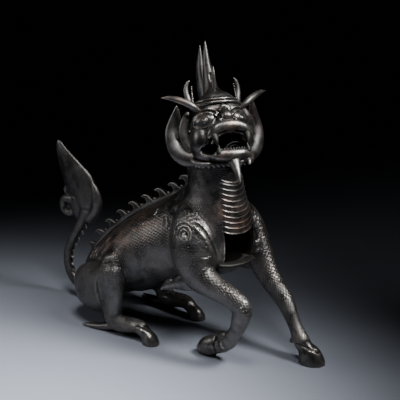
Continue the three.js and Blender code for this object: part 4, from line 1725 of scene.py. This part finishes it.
@dataclass
class Tail:
    """The tail, its small spines, and the tuft with its flame and curls."""

    def build(self) -> list[bpy.types.Object]:
        """The tail as one object.

        Returns:
            The pieces.
        """
        bm = bmesh.new()
        Sweep(TAIL, around=32, rings=96, blunt=(0.05, 0.05)).cast(bm)
        Sweep(TAIL_FLAME, around=40, rings=64, blunt=(0.12, 0.05), pinch=1.3).cast(bm)
        Sweep(TAIL_FRONT_LOCK, around=28, rings=40, pinch=1.2).cast(bm)
        Sweep(curl((0, 157, 115), 25, 0, 9.5, 7), around=28, rings=64, blunt=(0.06, 0.06)).cast(bm)
        Egg((0, 181.5, 106.5), (3.4, 6.5, 6.5)).cast(bm)
        Sweep(TAIL_HEART, around=32, rings=32).cast(bm)
        Sweep(curl((0, 164, 127), 17, 2, 5, 5), around=28, rings=48, blunt=(0.06, 0.06)).cast(bm)
        line = tuple((0, -y, z) for _, y, z, _, _ in TAIL[2:9])[::-1]
        row = bmesh.new()
        SpineRow(line, 0.1, 0.86, 8, (5, 3.6), 1.5, 4.4, 0, False).cast(row)
        for v in row.verts:
            v.co.y = -v.co.y
        spines = mesh_of(row, "spines")
        bm.from_mesh(spines)
        bpy.data.meshes.remove(spines)
        bmesh.ops.recalc_face_normals(bm, faces=bm.faces)
        mesh = melted(bm, "tail", 0.6, 3)
        return [finished(mesh, "tail")]


@dataclass
class Fittings:
    """The flames at the elbows, the spurs and ergots, the throat plates and the lip under the opening."""

    throat_top: float = 183.0
    throat_foot: float = 131.0
    plates: int = 10
    half_angles: tuple[float, float] = (43.0, 52.0)  # degrees either side of the middle, at foot and top
    plate_rise: float = 1.5  # how far the ribs stand out
    plate_sag: float = 6.5  # how much lower a plate hangs in the middle than at its ends
    hatch: Hatch = Hatch()
    sill_thick: float = 3.7 * UNIT_PER_MM
    sill_reach: float = 10.0 * UNIT_PER_MM

    # A plate's section: shares of its height, and how far out each place stands as a share of the rise.
    PLATE = (
        (0.0, 0.4),
        (0.05, 0.62),
        (0.12, 0.86),
        (0.19, 0.8),
        (0.26, 0.5),
        (0.36, 0.34),
        (0.62, 0.4),
        (0.9, 0.38),
    )

    @staticmethod
    def throat_point(z: float, angle: float, out: float) -> Row:
        """A point on the front of the neck, at a height, an angle from the middle and a distance off it.

        Args:
            z: its height.
            angle: its angle, in radians.
            out: how far off the neck it is.

        Returns:
            The point.
        """
        rows = np.array(NECK)
        y, w, d = (np.interp(z, rows[:, 2], rows[:, k]) for k in (1, 3, 4))
        return (math.sin(angle) * (w + out), y - math.cos(angle) * (d + out), z)

    def throat(self) -> bpy.types.Object:
        """The lapped plates down the throat.

        Returns:
            The piece.
        """
        tall = self.throat_top - self.throat_foot
        rows = [((i + s) / self.plates, out) for i in range(self.plates) for s, out in self.PLATE]
        columns = np.linspace(-1, 1, 41)
        bm = bmesh.new()
        bmesh.ops.create_grid(bm, x_segments=len(columns) - 1, y_segments=len(rows) - 1, size=1.0)
        low, high = (math.radians(angle) for angle in self.half_angles)
        for v, ((share, out), across) in zip(bm.verts, product(rows, columns)):
            edge = 1 - max(0, abs(across) - 0.74) / 0.26
            lift = out * self.plate_rise * edge - 0.9 * (1 - edge) ** 2
            height = self.throat_foot + share * tall + self.plate_sag * across**2
            v.co = self.throat_point(height, across * (low + (high - low) * share), lift)
        pushed = bmesh.ops.extrude_face_region(bm, geom=bm.faces[:])
        for v in pushed["geom"]:
            if isinstance(v, bmesh.types.BMVert):
                v.co += Vector((-v.co.x * 0.1, 4.0, 0))
        bmesh.ops.recalc_face_normals(bm, faces=bm.faces)
        mesh = mesh_of(bm, "throat_plates")
        return finished(refined(mesh, 1), "throat_plates", warm=BODY_RUST)

    def sill(self) -> bpy.types.Object:
        """The lip that stands out under the opening in the chest.

        Returns:
            The piece.
        """
        bm = bmesh.new()
        z = self.hatch.foot * HEIGHT_UNITS - self.sill_thick + 0.4
        slant = math.tan(math.radians(self.hatch.slant))
        angles = (-44, -32, -18, -4, 10, 24, 36)
        stations = []
        for angle in angles:
            x, y, _ = self.throat_point(z, math.radians(angle), 3.6)
            reach = self.sill_reach * (0.6 if angle in (angles[0], angles[-1]) else 1)
            stations.append((x, y, z - x * slant, self.sill_thick, reach))
        Sweep(tuple(stations), side=(0, 0, 1), rings=64, blunt=(0.05, 0.05), pinch=0.6).cast(bm)
        return finished(mesh_of(bm, "hatch_sill"), "hatch_sill")

    def flames(self) -> bpy.types.Object:
        """The flames at the elbows, the spurs behind the hocks and the flaps behind the fetlocks.

        Returns:
            The piece.
        """
        bm = bmesh.new()
        for hand, (x, y, z) in ELBOWS.items():
            for path in (ELBOW_FLAME, ELBOW_TONGUE):
                rows = tuple((x + hand * dx, y + dy, z + dz, w, d) for dx, dy, dz, w, d in path)
                Sweep(rows, rings=48, blunt=(0.1, 0.05), pinch=1.2).cast(bm)
            spur = shifted(on_side(hand, SPUR), -3 if hand > 0 else 0)
            Sweep(spur, rings=48, blunt=(0.08, 0.06)).cast(bm)
        for path in (RIGHT_ERGOT, LEFT_ERGOT):
            Sweep(path, around=24, rings=24).cast(bm)
        mesh = combined(melted(bm, "flames", 0.6, 3), floor_block(0), "INTERSECT")
        return finished(mesh, "flames")

    def build(self) -> list[bpy.types.Object]:
        """The fittings as finished objects."""
        return [self.throat(), self.sill(), self.flames()]


# The studio


@dataclass(frozen=True)
class SoftLight:
    """A square soft light, its places and size in metres in the row frame."""

    name: str
    place: Row
    aim: Row
    size: float
    power: float  # watts
    spread: float  # degrees

    def hang(self) -> None:
        """Hangs the light."""
        data = bpy.data.lights.new(self.name, "AREA")
        data.shape = "SQUARE"
        data.size = self.size
        data.energy = self.power
        data.spread = math.radians(self.spread)
        obj = bpy.data.objects.new(self.name, data)
        bpy.context.scene.collection.objects.link(obj)
        obj.location = self.place
        obj.rotation_euler = (Vector(self.place) - Vector(self.aim)).to_track_quat("Z", "Y").to_euler()


@dataclass(frozen=True)
class Studio:
    """The pale floor, the soft light and the camera at the photograph's angle."""

    azimuth: float = -52.0  # degrees from the beast's front towards its right
    elevation: float = 20.0
    distance: float = 1280.0  # units from the aim to the lens
    focal_pixels: float = 1280.0
    image_pixels: float = 400.0
    aim: Row = (8.0, 9.4, 148.7)
    floor_half: float = 12.0  # metres
    floor_colour: Row = (0.206, 0.222, 0.264, 1)
    surround_colour: Row = (0.30, 0.31, 0.34, 1)
    surround: float = 0.006
    soft_lights: tuple[SoftLight, ...] = (
        SoftLight("key", (0.04, -0.99, 1.42), (-0.62, 0.02, 0.0), 0.6, 9.4, 44.0),
        SoftLight("upper", (-0.56, -0.34, 1.64), (-0.42, 0.08, 0.0), 0.5, 2.4, 46.0),
        SoftLight("side", (-0.94, 0.98, 0.90), (0.0, 0.0, 0.3), 0.6, 0.5, 50.0),
    )

    def camera(self) -> None:
        """Places the camera and makes it the scene's."""
        a, e = math.radians(self.azimuth), math.radians(self.elevation)
        back = Vector((math.sin(a) * math.cos(e), -math.cos(a) * math.cos(e), math.sin(e)))
        data = bpy.data.cameras.new("camera")
        data.sensor_width = 36
        data.lens = self.focal_pixels / self.image_pixels * data.sensor_width
        data.clip_end = 60
        obj = bpy.data.objects.new("camera", data)
        bpy.context.scene.collection.objects.link(obj)
        aim = Vector(np.array(self.aim) * UNIT - SHIFT)
        obj.location = aim + back * self.distance * UNIT
        obj.rotation_euler = back.to_track_quat("Z", "Y").to_euler()
        bpy.context.scene.camera = obj

    def floor(self) -> None:
        """Lays the pale floor."""
        bm = bmesh.new()
        bmesh.ops.create_grid(bm, x_segments=1, y_segments=1, size=self.floor_half)
        mesh = mesh_of(bm, "floor")
        obj = link("floor", mesh)
        material = bpy.data.materials.new("floor")
        material.use_nodes = True
        shader = material.node_tree.nodes["Principled BSDF"]
        shader.inputs["Base Color"].default_value = self.floor_colour
        shader.inputs["Roughness"].default_value = 0.6
        mesh.materials.append(material)

    def lights(self) -> None:
        """Hangs the soft lights and sets the dim surround."""
        for light in self.soft_lights:
            light.hang()
        world = bpy.data.worlds.new("surround")
        world.use_nodes = True
        background = world.node_tree.nodes["Background"]
        background.inputs["Color"].default_value = self.surround_colour
        background.inputs["Strength"].default_value = self.surround
        bpy.context.scene.world = world

    def build(self) -> None:
        """Sets up the camera, the floor and the lights."""
        self.camera()
        self.floor()
        self.lights()


# The finish


class Nodes:
    """A short way to wire up the nodes of a tree."""

    def __init__(self, tree: bpy.types.NodeTree) -> None:
        """Keeps the tree."""
        self.tree = tree

    def add(self, kind: str, **options: object) -> bpy.types.Node:
        """A new node with its options set.

        Args:
            kind: the node's type.
            options: its attributes by name.

        Returns:
            The node.
        """
        node = self.tree.nodes.new(kind)
        for name, value in options.items():
            setattr(node, name, value)
        return node

    def feed(self, socket: bpy.types.NodeSocket, value: object) -> None:
        """Gives a socket a plain value or another node's output.

        Args:
            socket: the input.
            value: the value or the output.
        """
        if isinstance(value, bpy.types.NodeSocket):
            self.tree.links.new(value, socket)
        else:
            socket.default_value = value

    def sum_of(self, kind: str, *values: object, clamp: bool = False) -> bpy.types.NodeSocket:
        """The output of a Math node over the values.

        Args:
            kind: the operation.
            values: plain numbers or outputs.
            clamp: whether the result is kept between 0 and 1.

        Returns:
            The output.
        """
        node = self.add("ShaderNodeMath", operation=kind, use_clamp=clamp)
        for socket, value in zip(node.inputs, values):
            self.feed(socket, value)
        return node.outputs[0]

    def noise(self, vector: object, scale: float, detail: float, rough: float) -> bpy.types.NodeSocket:
        """Noise at a vector, from 0 to 1.

        Args:
            vector: where it is read.
            scale: how fine it is.
            detail: how many finer layers it has.
            rough: how strong each finer layer is.

        Returns:
            The output.
        """
        node = self.add("ShaderNodeTexNoise")
        self.feed(node.inputs["Vector"], vector)
        node.inputs["Scale"].default_value = scale
        node.inputs["Detail"].default_value = detail
        node.inputs["Roughness"].default_value = rough
        return node.outputs["Fac"]

    def step(
        self, value: object, low: float, high: float, to: tuple[float, float] = (0.0, 1.0)
    ) -> bpy.types.NodeSocket:
        """A soft step of a value that runs from low to high.

        Args:
            value: the value.
            low: where the step starts.
            high: where it ends, which may be below low.
            to: the result below and above the step.

        Returns:
            The output.
        """
        node = self.add("ShaderNodeMapRange", interpolation_type="SMOOTHSTEP")
        given = {"Value": value, "From Min": low, "From Max": high, "To Min": to[0], "To Max": to[1]}
        for name, number in given.items():
            self.feed(node.inputs[name], number)
        return node.outputs["Result"]

    def mix(self, share: object, first: object, second: object) -> bpy.types.NodeSocket:
        """Two colours mixed.

        Args:
            share: how much of the second shows, from 0 to 1.
            first: the first colour.
            second: the second colour.

        Returns:
            The output.
        """
        node = self.add("ShaderNodeMix", data_type="RGBA", blend_type="MIX")
        self.feed(node.inputs["Factor"], share)
        colours = [s for s in node.inputs if s.type == "RGBA"]
        self.feed(colours[0], first)
        self.feed(colours[1], second)
        return next(s for s in node.outputs if s.type == "RGBA")


def new_group(name: str, takes: dict[str, str], gives: dict[str, str]) -> tuple[bpy.types.NodeTree, Nodes]:
    """An empty node group with named inputs and outputs.

    Args:
        name: the name of the group.
        takes: the kind of each input, by its name.
        gives: the kind of each output, by its name.

    Returns:
        The group, and a way to wire it up.
    """
    group = bpy.data.node_groups.new(name, "ShaderNodeTree")
    for way, sockets in (("INPUT", takes), ("OUTPUT", gives)):
        for label, kind in sockets.items():
            group.interface.new_socket(name=label, in_out=way, socket_type="NodeSocket" + kind)
    return group, Nodes(group)


def scale_group() -> bpy.types.NodeTree:
    """Lapped round scales. It takes a UV that counts them and puts out their height and their rims.

    Returns:
        The node group.
    """
    group, n = new_group("lapped scales", {"Place": "Vector"}, {"Height": "Float", "Rim": "Float"})
    place = n.add("NodeGroupInput").outputs["Place"]
    split = n.add("ShaderNodeSeparateXYZ")
    n.feed(split.inputs[0], place)
    across, along = split.outputs[0], split.outputs[1]
    row = n.sum_of("FLOOR", along)
    within = n.sum_of("SUBTRACT", along, row)
    edges = []
    for ahead in (0, 1):
        shifted = n.sum_of("ADD", n.sum_of("MULTIPLY_ADD", row, 0.5, 0.5 + 0.5 * ahead), across)
        aside = n.sum_of("SUBTRACT", n.sum_of("FRACT", shifted), 0.5)
        square = n.sum_of("POWER", n.sum_of("DIVIDE", n.sum_of("ABSOLUTE", aside), 0.56), 2.0)
        arch = n.sum_of("SQRT", n.sum_of("MAXIMUM", n.sum_of("SUBTRACT", 1.0, square), 0.0))
        edges.append(n.sum_of("SUBTRACT", n.sum_of("ADD", arch, float(ahead)), within))
    upper = n.sum_of("GREATER_THAN", edges[0], 0.0)
    lower = n.sum_of("SUBTRACT", 1.0, upper)
    gap = n.sum_of("ADD", n.sum_of("MULTIPLY", edges[0], upper), n.sum_of("MULTIPLY", edges[1], lower))
    height = n.sum_of("SUBTRACT", 1.0, n.sum_of("DIVIDE", gap, 1.7), clamp=True)
    lip = n.step(gap, 0.0, 0.16)
    rounded = n.sum_of("MULTIPLY", height, n.sum_of("MULTIPLY_ADD", lip, 0.35, 0.65))
    out = n.add("NodeGroupOutput")
    n.feed(out.inputs["Height"], rounded)
    n.feed(out.inputs["Rim"], n.step(gap, 0.3, 0.05))
    return group


@dataclass(frozen=True)
class Patina:
    """The bronze's mottled skin, the same on every piece. Its colours are linear red, green, blue and 1."""

    dark: Row = (0.030, 0.028, 0.0275, 1)
    grey: Row = (0.097, 0.0935, 0.0935, 1)
    brown: Row = (0.126, 0.113, 0.105, 1)
    rust: Row = (0.26, 0.125, 0.075, 1)
    grime: Row = (0.018, 0.020, 0.016, 1)
    rubbed: Row = (0.40, 0.37, 0.34, 1)
    painted_shade: Row = (0.004, 0.0035, 0.003, 1)  # painted shade: near black inside the hollow and the mouth, where no light reaches
    roughness: tuple[float, float] = (0.27, 0.40)

    def group(self) -> bpy.types.NodeTree:
        """The node group. It puts out the colour, with painted shade inside the hollow and the mouth, the
        roughness and a fine pitted height.

        Returns:
            The group.
        """
        takes = {name: "Float" for name in ("Worn", "Sunk", "Warm", "Inner", "Rim")}
        gives = {"Colour": "Color", "Roughness": "Float", "Height": "Float"}
        group, n = new_group("patina", {"Place": "Vector", **takes}, gives)
        given = n.add("NodeGroupInput").outputs
        broad = n.noise(given["Place"], 9.0, 4.0, 0.6)
        middle = n.noise(given["Place"], 42.0, 5.0, 0.65)
        fine = n.noise(given["Place"], 260.0, 4.0, 0.7)
        pits = n.step(n.noise(given["Place"], 520.0, 2.0, 0.5), 0.30, 0.42)
        spots = n.sum_of("MULTIPLY_ADD", given["Warm"], 0.6, n.step(broad, 0.60, 0.74, (0.0, 0.25)))
        rust = n.sum_of("MULTIPLY", n.step(middle, 0.44, 0.62), spots, clamp=True)
        raised = n.sum_of("ADD", given["Worn"], n.sum_of("MULTIPLY", given["Rim"], 0.35))
        rubbed = n.sum_of("MULTIPLY", raised, n.step(fine, 0.25, 0.75, (0.35, 0.85)), clamp=True)
        colour = n.mix(n.step(middle, 0.36, 0.64), self.dark, self.grey)
        for share, over in (
            (n.step(broad, 0.42, 0.68, (0.0, 0.55)), self.brown),
            (rust, self.rust),
            (n.sum_of("MULTIPLY", given["Sunk"], 0.75), self.grime),
            (rubbed, self.rubbed),
            # painted shade: the inside of the hollow and the mouth goes near black
            (given["Inner"], self.painted_shade),
        ):
            colour = n.mix(share, colour, over)
        rough = n.step(middle, 0.3, 0.7, self.roughness)
        rough = n.sum_of("ADD", rough, n.sum_of("MULTIPLY", given["Sunk"], 0.2))
        rough = n.sum_of("SUBTRACT", rough, n.sum_of("MULTIPLY", rubbed, 0.08))
        rough = n.sum_of("ADD", rough, n.sum_of("MULTIPLY", given["Inner"], 0.5), clamp=True)
        height = n.sum_of("MULTIPLY_ADD", fine, 0.6, n.sum_of("MULTIPLY", middle, 2.2))
        height = n.sum_of("ADD", height, n.sum_of("MULTIPLY", pits, 0.25))
        out = n.add("NodeGroupOutput")
        for name, socket in (("Colour", colour), ("Roughness", rough), ("Height", height)):
            n.feed(out.inputs[name], socket)
        return group


class Relief(Enum):
    """What the surface of a piece is like."""

    SCALES = "scales"
    PLAIN = "plain"
    MATTE = "matte"

    @classmethod
    def of(cls, piece: bpy.types.Object) -> Relief:
        """The relief that a piece carries.

        Args:
            piece: the piece.

        Returns:
            One of the choices.
        """
        if "scales" in piece.data.uv_layers:
            return cls.SCALES
        return cls.MATTE if piece.name in ("mane", "horns", "crest", "tail") else cls.PLAIN


@dataclass(frozen=True)
class Bronze:
    """Dark patinated bronze, rubbed bright where it stands out."""

    relief: Relief
    metallic: float = 0.86
    scale_depth: float = 0.0015  # metres
    pit_depth: float = 0.00022  # metres

    def material(self, groups: dict[str, bpy.types.NodeTree]) -> bpy.types.Material:
        """The finish as a material.

        Args:
            groups: the shared node groups by name.

        Returns:
            A new material.
        """
        material = bpy.data.materials.new("bronze_" + self.relief.value)
        material.use_nodes = True
        n = Nodes(material.node_tree)
        shader = material.node_tree.nodes["Principled BSDF"]
        shader.inputs["Metallic"].default_value = self.metallic
        shader.inputs["Specular IOR Level"].default_value = 0.6
        patina = n.add("ShaderNodeGroup", node_tree=groups["patina"])
        place = n.add("ShaderNodeTexCoord").outputs["Object"]
        n.feed(patina.inputs["Place"], place)
        # Inner marks the inside of the hollow and the mouth, which is painted near black as shade
        for name in ("Worn", "Sunk", "Warm", "Inner"):
            mask = n.add("ShaderNodeAttribute", attribute_name=name.lower())
            n.feed(patina.inputs[name], mask.outputs["Fac"])
        n.feed(shader.inputs["Base Color"], patina.outputs["Colour"])
        dull = 0.1 if self.relief is Relief.MATTE else 0.0
        n.feed(shader.inputs["Roughness"], n.sum_of("ADD", patina.outputs["Roughness"], dull, clamp=True))
        pits = n.add("ShaderNodeBump")
        pits.inputs["Distance"].default_value = self.pit_depth
        n.feed(pits.inputs["Height"], patina.outputs["Height"])
        if self.relief is Relief.SCALES:
            scales = n.add("ShaderNodeGroup", node_tree=groups["scales"])
            stray = n.add("ShaderNodeTexNoise")
            n.feed(stray.inputs["Vector"], place)
            stray.inputs["Scale"].default_value = 70.0
            rows = n.add("ShaderNodeUVMap", uv_map="scales").outputs["UV"]
            uneven = n.add("ShaderNodeVectorMath", operation="MULTIPLY_ADD")
            for socket, value in zip(uneven.inputs, (stray.outputs["Color"], (0.9, 0.9, 0.0), rows)):
                n.feed(socket, value)
            n.feed(scales.inputs["Place"], uneven.outputs[0])
            shown = n.add("ShaderNodeAttribute", attribute_name="scaled").outputs["Fac"]
            bump = n.add("ShaderNodeBump")
            bump.inputs["Distance"].default_value = self.scale_depth
            n.feed(bump.inputs["Height"], n.sum_of("MULTIPLY", scales.outputs["Height"], shown))
            n.feed(patina.inputs["Rim"], n.sum_of("MULTIPLY", scales.outputs["Rim"], shown))
            n.feed(pits.inputs["Normal"], bump.outputs["Normal"])
        n.feed(shader.inputs["Normal"], pits.outputs["Normal"])
        return material


def main() -> None:
    """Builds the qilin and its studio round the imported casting."""
    logging.basicConfig(level=logging.INFO, format="%(name)s: %(message)s")
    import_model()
    Studio().build()
    groups = {"patina": Patina().group(), "scales": scale_group()}
    finishes = {relief: Bronze(relief).material(groups) for relief in Relief}
    pieces = []
    for part in (Body(), Head(), Crest(), Tail(), Fittings()):
        began = time.perf_counter()
        pieces += part.build()
        LOG.info("%s built in %.1f s", type(part).__name__, time.perf_counter() - began)
    for piece in pieces:
        piece.data.materials.clear()
        piece.data.materials.append(finishes[Relief.of(piece)])
        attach(piece, BODY)
        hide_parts(NODE)
        LOG.info("%s: %d triangles", piece.name, sum(len(p.vertices) - 2 for p in piece.data.polygons))


if __name__ == "__main__":
    main()
